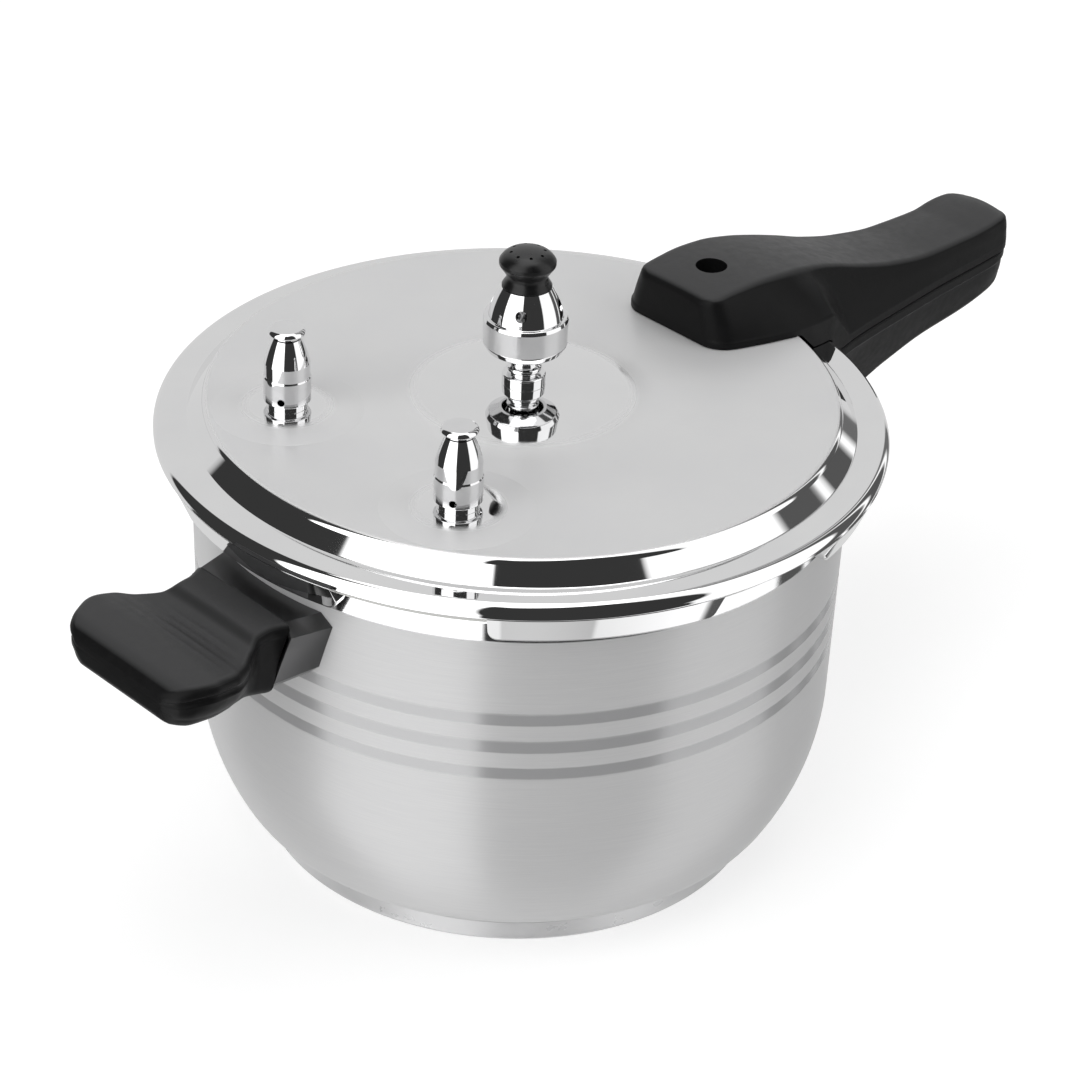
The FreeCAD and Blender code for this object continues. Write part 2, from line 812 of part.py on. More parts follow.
def weight_bell():
    """Chromed bell of the regulator weight, hollow over the vent pipe, with four steam holes."""
    body = new_body("weight_bell")
    revolve(body, "weight_bell_turned", (
        (dim["bell_cavity_radius"], dim["bell_mouth_z"]),
        (dim["bell_mouth_radius"], dim["bell_mouth_z"]),
        (dim["bell_shoulder_radius"], dim["bell_shoulder_z"]),
        (dim["bell_radius"], dim["bell_low_z"], dim["bell_shoulder_round"]),
        (dim["bell_radius"], dim["bell_ring_z"]),
        (dim["bell_cone_radius"], dim["bell_ring_top"]),
        (dim["bell_neck_radius"], dim["bell_top"], dim["bell_cone_round"]),
        (dim["needle_radius"], dim["bell_top"]),
        (dim["needle_radius"], dim["bell_cavity_top"]),
        (dim["bell_cavity_radius"], dim["bell_cavity_top"]),
    ))
    sketch = new_sketch(body, "steam_hole_outline", "YZ_Plane", offset=dim["bell_hole_start"])
    circle(sketch, 0, dim["bell_hole_z"], dim["bell_hole"])
    hole = bore(body, "steam_hole", sketch)
    repeat_round(body, "steam_holes", hole, dim["bell_holes"])
    body.Placement = Placement(Vector(0, 0, SIZES["lid_top"]), Rotation(Vector(0, 0, 1), SIZES["bell_turn"]))
    bind(body, ".Placement.Rotation.Angle", dim["bell_turn"])
    place(body, z=dim["lid_top"])


def weight_cap():
    """Heat-proof cap moulded on the bell."""
    body = new_body("weight_cap")
    revolve(body, "weight_cap_turned", (
        (0, dim["bell_top"]),
        (dim["bell_neck_radius"], dim["bell_top"]),
        (dim["cap_neck_radius"], dim["cap_neck_z"]),
        (dim["cap_disc_radius"], dim["cap_disc_z"]),
        (dim["cap_crown_radius"], dim["cap_top_z"] - dim["cap_crown_drop"], dim["cap_round_edge"]),
        (0, dim["cap_top_z"]),
    ))
    place(body, z=dim["lid_top"])


def weight_needle():
    """Steel needle in the bell whose point closes the vent pipe."""
    body = new_body("weight_needle")
    radius = dim["needle_radius"] - dim["needle_gap"]
    high = dim["bell_top"] - dim["needle_gap"]
    revolve(body, "weight_needle_turned", (
        (0, dim["needle_tip"]),
        (dim["needle_point"], dim["needle_seat"]),
        (radius, dim["needle_seat"] + radius),
        (radius, high),
        (0, high),
    ))
    place(body, z=dim["lid_top"])


def safety_valve(letter):
    """One spring safety valve: seat, housing, stem with its head, gasket, nut and spring."""
    across, along = valve_place(letter)
    floor = dim["lid_top"] + dim["valve_boss_rise"]
    prefix = f"safety_valve_{letter}"
    wall = dim["housing_wall"]
    stem_hole = dim["stem_radius"] + dim["stem_gap"]

    seat = new_body(prefix + "_seat")
    revolve(seat, prefix + "_seat_turned", (
        (dim["seat_bore"], dim["shank_low"]),
        (dim["shank_radius"], dim["shank_low"]),
        (dim["shank_radius"], 0),
        (dim["seat_radius"], 0),
        (dim["seat_radius"], dim["seat_rise"]),
        (dim["seat_bore"], dim["seat_rise"]),
    ))

    housing = new_body(prefix + "_housing")
    revolve(housing, prefix + "_housing_turned", (
        (dim["housing_radius"] - wall, 0),
        (dim["housing_radius"], 0),
        (dim["housing_radius"], dim["housing_waist"]),
        (dim["housing_shoulder_radius"], dim["housing_shoulder"]),
        (dim["housing_neck_radius"], dim["housing_top"], dim["housing_arc"]),
        (stem_hole, dim["housing_top"]),
        (stem_hole, dim["housing_roof"]),
        (dim["housing_neck_radius"], dim["housing_roof"]),
        (dim["housing_radius"] - wall, dim["housing_waist"]),
    ))
    sketch = new_sketch(housing, prefix + "_hole_outline", "YZ_Plane")
    bore(housing, prefix + "_hole", circle(sketch, 0, dim["housing_hole_z"], dim["housing_hole"]))

    stem = new_body(prefix + "_stem")
    revolve(stem, prefix + "_stem_turned", (
        (0, dim["poppet_low"]),
        (dim["poppet_radius"], dim["poppet_low"]),
        (dim["poppet_radius"], dim["poppet_top"]),
        (dim["stem_radius"], dim["poppet_top"]),
        (dim["stem_radius"], dim["head_low"]),
        (dim["head_radius"] - dim["head_bevel"], dim["head_low"]),
        (dim["head_radius"], dim["head_low"] + dim["head_bevel"]),
        (dim["head_crown"], dim["head_top"] - dim["head_crown_drop"], dim["head_round"]),
        (0, dim["head_top"]),
    ))

    gasket = lid_gasket(prefix + "_gasket", -dim["lid_sheet"])
    nut = hex_nut(prefix + "_nut", -dim["lid_sheet"] - dim["gasket_thick"])
    for body in (seat, housing, stem, gasket, nut):
        body.Placement = Placement(Vector(), Rotation(Vector(0, 0, 1), SIZES["valve_face_angle"]))
        place(body, across, along, floor)

    coil = doc.addObject("Part::Helix", prefix + "_coil")
    bind(coil, "Radius", dim["spring_radius"])
    bind(coil, "Height", dim["spring_high"] - dim["spring_low"])
    bind(coil, "Pitch", (dim["spring_high"] - dim["spring_low"]) / dim["spring_turns"])
    wire = doc.addObject("Part::Circle", prefix + "_wire")
    bind(wire, "Radius", dim["spring_wire"])
    wire.Placement = Placement(Vector(SIZES["spring_radius"], 0, 0), Rotation(Vector(1, 0, 0), 90))
    place(wire, x=dim["spring_radius"])
    spring = doc.addObject("Part::Sweep", prefix + "_spring")
    spring.Sections = [wire]
    spring.Spine = (coil, [])
    spring.Solid = True
    spring.Frenet = True
    spring.Label = prefix + "_spring"
    place(spring, across, along, floor + dim["spring_low"])
    parts.append(spring)


def float_valve():
    """Float pin that rises under pressure and shows in the lid handle's window."""
    bush = new_body("float_bush")
    bore_radius = dim["float_rod"] + dim["float_gap"]
    revolve(bush, "float_bush_turned", (
        (bore_radius, dim["float_shank_low"]),
        (dim["shank_radius"], dim["float_shank_low"]),
        (dim["shank_radius"], 0),
        (dim["float_bush_radius"], 0),
        (dim["float_bush_radius"], dim["float_bush_rise"]),
        (bore_radius, dim["float_bush_rise"]),
    ))
    pin = new_body("float_pin")
    bevel = dim["float_bevel"]
    disc_top = dim["float_tail"] + dim["float_disc_thick"]
    revolve(pin, "float_pin_turned", (
        (0, dim["float_tail"]),
        (dim["float_disc_radius"], dim["float_tail"]),
        (dim["float_disc_radius"], disc_top - bevel),
        (dim["float_rod"], disc_top),
        (dim["float_rod"], dim["float_head_low"]),
        (dim["float_head_radius"], dim["float_head_low"] + bevel),
        (dim["float_head_radius"], dim["float_head_top"] - bevel),
        (dim["float_head_radius"] - bevel, dim["float_head_top"]),
        (0, dim["float_head_top"]),
    ))
    clip_high = dim["float_shank_low"] - dim["float_travel"] - dim["float_gap"]
    clip = washer("float_clip", dim["float_rod"], dim["clip_radius"], clip_high - dim["clip_thick"], clip_high)
    gasket = lid_gasket("float_gasket", -dim["lid_sheet"])
    nut = hex_nut("float_nut", -dim["lid_sheet"] - dim["gasket_thick"])
    for body in (bush, pin, clip, gasket, nut):
        place(body, x=dim["float_x"], z=dim["lid_top"])


def vent_fastening():
    """Gasket and nut that hold the vent pipe in the lid."""
    under_boss = dim["boss_rise"] - dim["lid_sheet"]
    gasket = lid_gasket("vent_gasket", under_boss)
    nut = hex_nut("vent_nut", under_boss - dim["gasket_thick"])
    for body in (gasket, nut):
        place(body, z=dim["lid_top"])


def sections(body, prefix, count, shape):
    """One cross-section sketch for each station; shape gives a station's corner points."""
    sketches = []
    for number in range(1, count + 1):
        sketch = new_sketch(body, f"{prefix}_section_{number}", "YZ_Plane", offset=dim[f"{prefix}_x_{number}"])
        outline(sketch, shape(number))
        sketches.append(sketch)
    return sketches


def lid_handle():
    """Moulded lid handle: a wide head over the lid and a waisted grip, open below for its bracket."""
    body = new_body("lid_handle")
    rim = dim["handle_edge"]
    drop = dim["handle_edge_drop"]

    def shape(number):
        words = ("edge", "half", "knee", "side")
        edge, half, knee, side = (dim[f"lid_handle_{word}_{number}"] for word in words)
        low = dim["seam_high"]
        return (
            (-side, low), (side, low), (side, knee), (half, edge - drop), (half - rim, edge),
            (-(half - rim), edge), (-half, edge - drop), (-side, knee),
        )

    loft(body, "lid_handle_form", sections(body, "lid_handle", len(LID_HANDLE_STATIONS), shape))
    gap = dim["handle_gap"]
    outer = dim["bead_radius"] + gap
    inside = dim["clear_inside"]
    below = dim["claw_z"]
    revolve(body, "lid_clearance", (
        (inside, dim["lid_top"] + gap),
        (dim["crown_radius"] + dim["crown_round"] / 2, dim["lid_top"] + gap),
        (dim["step_radius"] + gap * 3, dim["flange_z"] + gap),
        (dim["flange_radius"] + gap * 3, dim["flange_z"] + gap),
        (outer, dim["bead_z"] + gap * 3, -(dim["bead_round"] + gap)),
        (outer, below),
        (inside, below),
    ), cut=True)
    fit = dim["fit_gap"]
    lengthwise_box(body, "bar_slot", dim["bar_start"] - fit, dim["bar_end"] + fit, dim["bar_half"] + fit,
                   dim["lid_top"], dim["bar_low"] + dim["bar_thick"] + fit, cut=True)
    window = new_sketch(body, "window_outline", "XY_Plane", offset=dim["lid_top"])
    bore(body, "window", circle(window, dim["float_x"], 0, dim["window_radius"]))
    blind_hole(body, "well", dim["float_x"], 0, dim["window_bore"], dim["lid_top"], dim["window_floor"])
    screw_holes(body, "lid_handle", dim["lid_screw_x"], dim["lid_screw_half"], dim["seam_high"],
                dim["bar_low"])


def screw_holes(body, prefix, across, half, low, high):
    """Holes with recesses for the heads, from below, at one place or mirrored to both sides."""
    sides = [as_size(0)] if half is None else [half, -half]
    floor = low + dim["screw_recess"]
    for number, along in enumerate(sides, 1):
        blind_hole(body, f"{prefix}_shank_{number}", across, along, dim["screw_radius"] + dim["fit_gap"],
                   low, high + dim["screw_spare"])
        blind_hole(body, f"{prefix}_recess_{number}", across, along,
                   dim["screw_head_radius"] + dim["fit_gap"], low - dim["recess_reach"], floor)


def screws(label, across, half, low, high):
    """Screws with their heads sunk above a height, up to another, as one group of separate solids."""
    sides = [as_size(0)] if half is None else [half, -half]
    head_low = low + dim["screw_sink"]
    links = []
    for number, along in enumerate(sides, 1):
        head = doc.addObject("Part::Cylinder", f"{label}_head_{number}")
        bind(head, "Radius", dim["screw_head_radius"])
        bind(head, "Height", dim["screw_head_thick"])
        place(head, across, along, head_low)
        shank = doc.addObject("Part::Cylinder", f"{label}_shank_{number}")
        bind(shank, "Radius", dim["screw_radius"])
        bind(shank, "Height", high - head_low)
        place(shank, across, along, head_low)
        screw = doc.addObject("Part::Fuse", f"{label}_{number}")
        screw.Base = head
        screw.Tool = shank
        links.append(screw)
    group = doc.addObject("Part::Compound", label)
    group.Links = links
    group.Label = label
    parts.append(group)


def lid_handle_bracket():
    """Steel bar welded on the lid's top, which runs out into the handle."""
    body = new_body("lid_handle_bracket")
    bar_top = dim["bar_low"] + dim["bar_thick"]
    lengthwise_box(body, "bar", dim["bar_start"], dim["bar_end"], dim["bar_half"], dim["bar_low"], bar_top)
    lengthwise_box(body, "bar_foot", dim["bar_start"], dim["bar_foot_end"], dim["bar_half"],
                   dim["lid_top"] + dim["weld_gap"], bar_top)
    for number, (across, along, radius) in enumerate((
        (dim["float_x"], 0, dim["float_bush_radius"] + dim["fit_gap"]),
        (dim["lid_screw_x"], dim["lid_screw_half"], dim["screw_radius"] + dim["weld_gap"]),
        (dim["lid_screw_x"], -dim["lid_screw_half"], dim["screw_radius"] + dim["weld_gap"]),
    ), 1):
        blind_hole(body, f"bar_hole_{number}", across, along, radius, dim["lid_top"],
                   bar_top + dim["bar_thick"])


def wall_clearance(body, name):
    """Trim what would reach into the pot's wall, which widens a little from belly to neck."""
    inside = dim["clear_inside"]
    revolve(body, name, (
        (inside, dim["belly_z"]),
        (dim["belly_radius"] + dim["weld_gap"], dim["belly_z"]),
        (dim["neck_radius"] + dim["weld_gap"], dim["neck_z"]),
        (inside, dim["neck_z"]),
    ), cut=True)


def bracket(label, plate_high, tongue_low, tongue_high, tongue_end, screw_x, facing):
    """Steel plate welded to the pot's wall with a tongue for a handle; facing is its angle about Z."""
    body = new_body(label)
    lengthwise_box(body, label + "_plate", dim["plate_start"], dim["plate_end"], dim["plate_half"],
                   dim["plate_low"], plate_high)
    lengthwise_box(body, label + "_tongue", dim["plate_start"], tongue_end, dim["tongue_half"],
                   tongue_low, tongue_high)
    wall_clearance(body, label + "_trim")
    blind_hole(body, label + "_screw_hole", screw_x, 0, dim["screw_radius"] + dim["weld_gap"],
               dim["plate_low"], plate_high)
    body.Placement = Placement(Vector(), Rotation(Vector(0, 0, 1), facing))


def tongue_slot(body, name, low, high, end):
    """Slot in a handle for its bracket's tongue."""
    fit = dim["fit_gap"]
    lengthwise_box(body, name, dim["guard_start"], end + fit, dim["tongue_half"] + fit, low - fit, high + fit,
                   cut=True)


def pot_handle():
    """Moulded pot handle: deep at the wall, rising to a slim grip under the lid's one."""
    body = new_body("pot_handle")
    high = dim["seam_low"]
    below_lip = high - dim["pot_handle_lip"]

    def shape(number):
        low, half, side = (dim[f"pot_handle_{word}_{number}"] for word in ("low", "half", "side"))
        flat = half - dim["pot_handle_edge"]
        knee = low + dim["pot_handle_round"]
        return (
            (-flat, low), (flat, low), (half, knee), (side, below_lip), (side, high),
            (-side, high), (-side, below_lip), (-half, knee),
        )

    loft(body, "pot_handle_form", sections(body, "pot_handle", len(POT_HANDLE_STATIONS), shape))
    above = dim["lid_top"]
    inside = dim["clear_inside"]
    revolve(body, "claw_sweep", (
        (inside, dim["claw_floor"]),
        (dim["claw_clearance"], dim["claw_floor"]),
        (dim["claw_clearance"], above),
        (inside, above),
    ), cut=True)
    tongue_slot(body, "tongue_slot", dim["tongue_low"], dim["tongue_high"], dim["tongue_end"])
    screw_holes(body, "pot_handle", dim["pot_screw_x"], None, dim["pot_screw_low"], dim["tongue_high"])


def collar_cut(body, name, x_shift, far_x):
    """Cut all of a body between the slanting joint of guard and collar and a far distance."""
    low = dim["guard_low"] - dim["cut_spare"]
    high = dim["guard_high"] + dim["cut_spare"]
    sketch = outline(new_sketch(body, name + "_outline", "XZ_Plane"), (
        (dim["collar_low_x"] + x_shift, low),
        (dim["collar_high_x"] + x_shift, high),
        (far_x, high),
        (far_x, low),
    ))
    pocket(body, name, sketch, dim["belly_radius"], both_ways=True)


def helper_handle():
    """Moulded helper handle: a deep collar and a flat, flared grip."""
    body = new_body("helper_handle")
    edge_cut = dim["helper_edge"]

    def shape(number):
        low, half, edge, side = (dim[f"helper_{word}_{number}"] for word in ("low", "half", "edge", "side"))
        return (
            (-(half - edge_cut), low), (half - edge_cut, low), (half, low + edge_cut),
            (side, edge - edge_cut), (side - edge_cut, edge), (-(side - edge_cut), edge),
            (-side, edge - edge_cut), (-half, low + edge_cut),
        )

    loft(body, "helper_handle_form", sections(body, "helper", len(HELPER_STATIONS), shape))
    collar_cut(body, "collar_mouth", dim["weld_gap"], dim["guard_start"])
    tongue_slot(body, "helper_slot", dim["helper_tongue_low"], dim["helper_tongue_high"],
                dim["helper_tongue_end"])
    screw_holes(body, "helper_handle", dim["helper_screw_x"], None, dim["helper_screw_low"],
                dim["helper_tongue_high"])
    body.Placement = Placement(Vector(), Rotation(Vector(0, 0, 1), 180))


def helper_flame_guard():
    """Sheet-metal sleeve that shields the helper handle from the flame."""
    body = new_body("helper_flame_guard")
    for name, inset, cut in (("guard_skin", as_size(0), False), ("guard_hollow", dim["guard_sheet"], True)):
        low = dim["guard_low"] + inset
        high = dim["guard_high"] - inset
        corner = dim["guard_corner"]
        sketches = []
        for end, x, low_half, high_half in (
            ("wall", dim["guard_start"], dim["guard_wall_low_half"] - inset, dim["guard_wall_high_half"] - inset),
            ("grip", dim["guard_end"], dim["guard_low_half"] - inset, dim["guard_high_half"] - inset),
        ):
            sketches.append(outline(new_sketch(body, f"{name}_{end}", "YZ_Plane", offset=x), (
                (-(low_half - corner), low), (low_half - corner, low), (low_half, low + corner),
                (high_half, high - corner), (high_half - corner, high),
                (-(high_half - corner), high), (-high_half, high - corner), (-low_half, low + corner),
            )))
        loft(body, name, sketches, cut)
    wall_clearance(body, "guard_trim")
    collar_cut(body, "guard_mouth", -dim["weld_gap"], dim["helper_tongue_end"])
    body.Placement = Placement(Vector(), Rotation(Vector(0, 0, 1), 180))


def check_document():
    """Stop if any feature failed or any sub-part has no valid solid."""
    for thing in doc.Objects:
        if "Invalid" in thing.State or "Error" in thing.State:
            raise RuntimeError(f"{thing.Label} failed: {thing.State}")
    for part in parts:
        if part.Shape.isNull() or not part.Shape.isValid() or not part.Shape.Solids:
            raise RuntimeError(f"{part.Label} has no valid solid")


def write_parts():
    """Write one STEP file for each sub-part."""
    os.makedirs("parts", exist_ok=True)
    for part in parts:
        part.Shape.exportStep(f"parts/{part.Label}.step")
        print(f"{part.Label:28s} solids {len(part.Shape.Solids)}  volume {part.Shape.Volume / 1000:9.2f} cm3")


base_cap()
base_core()
pot_shell()
bracket("pot_handle_bracket", dim["plate_high"], dim["tongue_low"], dim["tongue_high"], dim["tongue_end"],
        dim["pot_screw_x"], 0)
pot_handle()
screws("pot_handle_screw", dim["pot_screw_x"], None, dim["pot_screw_low"], dim["tongue_high"])
bracket("helper_bracket", dim["helper_plate_high"], dim["helper_tongue_low"], dim["helper_tongue_high"],
        dim["helper_tongue_end"], dim["helper_screw_x"], 180)
helper_flame_guard()
helper_handle()
screws("helper_screw", -dim["helper_screw_x"], None, dim["helper_screw_low"], dim["helper_tongue_high"])
sealing_ring()
lid_shell()
lid_handle_bracket()
lid_handle()
screws("lid_handle_screws", dim["lid_screw_x"], dim["lid_screw_half"], dim["seam_high"],
       dim["bar_low"] + dim["bar_thick"])
vent_pipe()
vent_fastening()
anti_block_screen()
float_valve()
weight_bell()
weight_cap()
weight_needle()
for valve_letter in VALVES:
    safety_valve(valve_letter)

doc.recompute()
check_document()
write_parts()
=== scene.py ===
import json
import math

import bmesh
import bpy
import numpy as np
from mathutils import Matrix, Vector


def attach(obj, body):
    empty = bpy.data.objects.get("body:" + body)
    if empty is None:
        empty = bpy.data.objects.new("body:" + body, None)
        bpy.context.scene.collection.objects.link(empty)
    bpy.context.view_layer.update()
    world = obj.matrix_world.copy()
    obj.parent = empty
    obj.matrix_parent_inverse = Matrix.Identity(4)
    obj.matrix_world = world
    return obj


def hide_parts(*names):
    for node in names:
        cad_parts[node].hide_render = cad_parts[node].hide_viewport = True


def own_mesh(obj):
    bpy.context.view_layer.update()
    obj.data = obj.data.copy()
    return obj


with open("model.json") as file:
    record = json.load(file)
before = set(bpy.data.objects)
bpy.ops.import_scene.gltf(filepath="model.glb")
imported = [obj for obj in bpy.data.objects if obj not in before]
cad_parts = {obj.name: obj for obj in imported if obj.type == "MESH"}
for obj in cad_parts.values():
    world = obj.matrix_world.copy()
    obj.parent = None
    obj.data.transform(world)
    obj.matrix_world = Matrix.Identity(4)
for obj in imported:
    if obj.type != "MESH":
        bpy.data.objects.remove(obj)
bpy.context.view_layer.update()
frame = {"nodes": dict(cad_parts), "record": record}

MM = 0.001
CAMERA_AZIMUTH = math.radians(-134.0)
CAMERA_PLACE = (-0.68811, -0.71256, 0.71019)
CAMERA_AIM = (0.02009, 0.00966, 0.09185)
CAMERA_ROLL = math.radians(2.3147)
CAMERA_LENS = 113.5
SENSOR = 36.0

# Sizes of the lid in millimetres. They repeat the CAD's, so a change to the CAD has to be made here as well.
LID_TOP = 162.0
LID_SHEET = 2.0
BOSS_FOOT = 42.0
BOSS_RADIUS = 8.5
BOSS_RISE = 3.9
BOSS_ARC = 188.0
VALVE_RADIUS = 78.8
VALVE_ANGLES = {"a": math.radians(148.0), "b": math.radians(-148.0)}
VALVE_BOSS_FOOT = 25.0
VALVE_BOSS_RADIUS = 9.0
VALVE_BOSS_RISE = 1.2
VALVE_BOSS_ARC = 107.0
VALVE_TOP = LID_TOP + VALVE_BOSS_RISE
FLOAT_X = 88.0
HOLE = 5.2


def valve_place(letter):
    """Where a safety valve stands on the lid."""
    return VALVE_RADIUS * math.cos(VALVE_ANGLES[letter]), VALVE_RADIUS * math.sin(VALVE_ANGLES[letter])


# ---------------------------------------------------------------- materials

BAND_CENTRES = (84.3, 94.5, 105.0)
BAND_HALF = 2.1
BAND_SOFT = 0.25
COLLAR_LOW = 134.5
ZONE_HEIGHT = 150.0
SATIN_ROUGH = 0.34
LID_SATIN_LOW = 161.6
LID_SATIN_FULL = 161.9
# Rings of polish on the lid's flat top: place and reach.
LID_POLISH = ((0.0, 0.0, 36.0), (*valve_place("a"), 13.5), (*valve_place("b"), 13.5))


class Nodes:
    """Short calls for adding and linking the nodes of one tree."""

    def __init__(self, tree):
        self.tree = tree
        tree.nodes.clear()

    def add(self, kind, **settings):
        node = self.tree.nodes.new(kind)
        for name, value in settings.items():
            setattr(node, name, value)
        return node

    def link(self, source, target):
        self.tree.links.new(source, target)

    def math(self, operation, first, second=None):
        node = self.add("ShaderNodeMath", operation=operation)
        for socket, value in zip(node.inputs, (first, second)):
            if value is None:
                continue
            if isinstance(value, (int, float)):
                socket.default_value = value
            else:
                self.link(value, socket)
        return node.outputs[0]

    def ramp(self, factor, stops, interpolation="LINEAR"):
        node = self.add("ShaderNodeValToRGB")
        node.color_ramp.interpolation = interpolation
        elements = node.color_ramp.elements
        while len(elements) > 1:
            elements.remove(elements[-1])
        for number, (place, value) in enumerate(stops):
            element = elements[0] if number == 0 else elements.new(place)
            element.position = place
            shade = value if isinstance(value, tuple) else (value, value, value)
            element.color = (*shade, 1.0)
        self.link(factor, node.inputs[0])
        return node.outputs[0]

    def noise(self, place, scale, detail):
        node = self.add("ShaderNodeTexNoise")
        node.inputs["Scale"].default_value = scale
        node.inputs["Detail"].default_value = detail
        self.link(place, node.inputs["Vector"])
        return node

    def relief(self, height, strength, distance):
        node = self.add("ShaderNodeBump")
        node.inputs["Strength"].default_value = strength
        node.inputs["Distance"].default_value = distance
        self.link(height, node.inputs["Height"])
        return node.outputs[0]


def new_material(name):
    """A material with one principled shader, and the calls and the shader to go on with."""
    material = bpy.data.materials.new(name)
    material.use_nodes = True
    n = Nodes(material.node_tree)
    out = n.add("ShaderNodeOutputMaterial")
    shader = n.add("ShaderNodeBsdfPrincipled")
    n.link(shader.outputs[0], out.inputs[0])
    return material, n, shader


def surface(name, color, metallic, roughness, noise_scale=60.0, roughness_swing=0.03, bump=0.0,
            bump_scale=900.0, specular=None, painted_top_color=None):
    """A procedural material: fine noise in its roughness and, with bump, in its relief. With a top colour,
    faces that look up get a lighter base colour: painted light from above.
    """
    material, n, shader = new_material(name)
    place = n.add("ShaderNodeTexCoord").outputs["Object"]
    noise = n.noise(place, noise_scale, 4.0)
    n.link(n.ramp(noise.outputs["Fac"], ((0.3, max(roughness - roughness_swing, 0.0)),
                                         (0.7, roughness + roughness_swing))), shader.inputs["Roughness"])
    dark = tuple(c * 0.94 for c in color)
    tone = n.ramp(noise.outputs["Fac"], ((0.3, dark), (0.7, tuple(color))))
    if painted_top_color is None:
        n.link(tone, shader.inputs["Base Color"])
    else:
        # Painted light from above: faces that look up blend to the lighter top colour, in place of the lamp's
        # light on the tops.
        facing = n.add("ShaderNodeSeparateXYZ")
        n.link(n.add("ShaderNodeNewGeometry").outputs["Normal"], facing.inputs[0])
        painted_top_light_mix = n.add("ShaderNodeMix", data_type="RGBA")
        n.link(n.ramp(facing.outputs["Z"], ((0.72, 0.0), (0.97, 1.0))), painted_top_light_mix.inputs["Factor"])
        n.link(tone, painted_top_light_mix.inputs["A"])
        painted_top_light_mix.inputs["B"].default_value = (*painted_top_color, 1.0)
        n.link(painted_top_light_mix.outputs["Result"], shader.inputs["Base Color"])
    shader.inputs["Metallic"].default_value = metallic
    if specular is not None:
        shader.inputs["Specular IOR Level"].default_value = specular
    if bump:
        grain = n.noise(place, bump_scale, 3.0)
        n.link(n.relief(grain.outputs["Fac"], bump, 0.0002), shader.inputs["Normal"])
    return material


def zoned(n, polish, collar, satin_value, band_value, collar_value):
    """Pick a value by zone of the pot's height: satin wall, polished band or mirror collar."""
    kind = "RGBA" if isinstance(collar_value, tuple) else "FLOAT"
    result = satin_value
    for factor, value in ((polish, band_value), (collar, collar_value)):
        mix = n.add("ShaderNodeMix", data_type=kind)
        n.link(factor, mix.inputs["Factor"])
        sockets = [socket for socket in mix.inputs if socket.enabled and socket.name in ("A", "B")]
        if isinstance(result, (int, float, tuple)):
            sockets[0].default_value = result
        else:
            n.link(result, sockets[0])
        sockets[1].default_value = value
        result = [socket for socket in mix.outputs if socket.enabled][0]
    return result


def pot_steel():
    """Satin steel brushed round the pot, with narrow polished bands and a mirror collar, placed by height."""
    material, n, shader = new_material("satin_pot_steel")
    place = n.add("ShaderNodeTexCoord").outputs["Object"]
    split = n.add("ShaderNodeSeparateXYZ")
    n.link(place, split.inputs[0])
    height = n.math("MULTIPLY", split.outputs["Z"], 1.0 / (ZONE_HEIGHT * MM))
    stops = [(0.0, 0.0)]
    for centre in BAND_CENTRES:
        for offset, value in ((-BAND_HALF - BAND_SOFT, 0.0), (-BAND_HALF, 1.0), (BAND_HALF, 1.0),
                              (BAND_HALF + BAND_SOFT, 0.0)):
            stops.append(((centre + offset) / ZONE_HEIGHT, value))
    polish = n.ramp(height, stops)
    collar = n.ramp(height, (((COLLAR_LOW - BAND_SOFT) / ZONE_HEIGHT, 0.0),
                             ((COLLAR_LOW + BAND_SOFT) / ZONE_HEIGHT, 1.0)))
    squeeze = n.add("ShaderNodeMapping")
    squeeze.inputs["Scale"].default_value = (1.0, 1.0, 60.0)
    n.link(place, squeeze.inputs["Vector"])
    grain = n.noise(squeeze.outputs[0], 55.0, 8.0)
    grain.inputs["Roughness"].default_value = 0.65
    satin = n.ramp(grain.outputs["Fac"], ((0.3, SATIN_ROUGH - 0.05), (0.7, SATIN_ROUGH + 0.05)))
    fine = n.ramp(grain.outputs["Fac"], ((0.3, (0.53, 0.53, 0.535)), (0.7, (0.58, 0.58, 0.58))))
    n.link(zoned(n, polish, collar, satin, 0.20, 0.06), shader.inputs["Roughness"])
    n.link(zoned(n, polish, collar, fine, (0.42, 0.42, 0.425, 1.0), (0.82, 0.82, 0.825, 1.0)),
           shader.inputs["Base Color"])
    n.link(zoned(n, polish, collar, 0.20, 0.34, 1.0), shader.inputs["Metallic"])
    shader.inputs["Specular IOR Level"].default_value = 0.15
    shader.inputs["Anisotropic"].default_value = 0.7
    shader.inputs["Anisotropic Rotation"].default_value = 0.25
    tangent = n.add("ShaderNodeTangent", direction_type="RADIAL", axis="Z")
    n.link(tangent.outputs[0], shader.inputs["Tangent"])
    n.link(n.relief(grain.outputs["Fac"], 0.05, 0.0001), shader.inputs["Normal"])
    return material


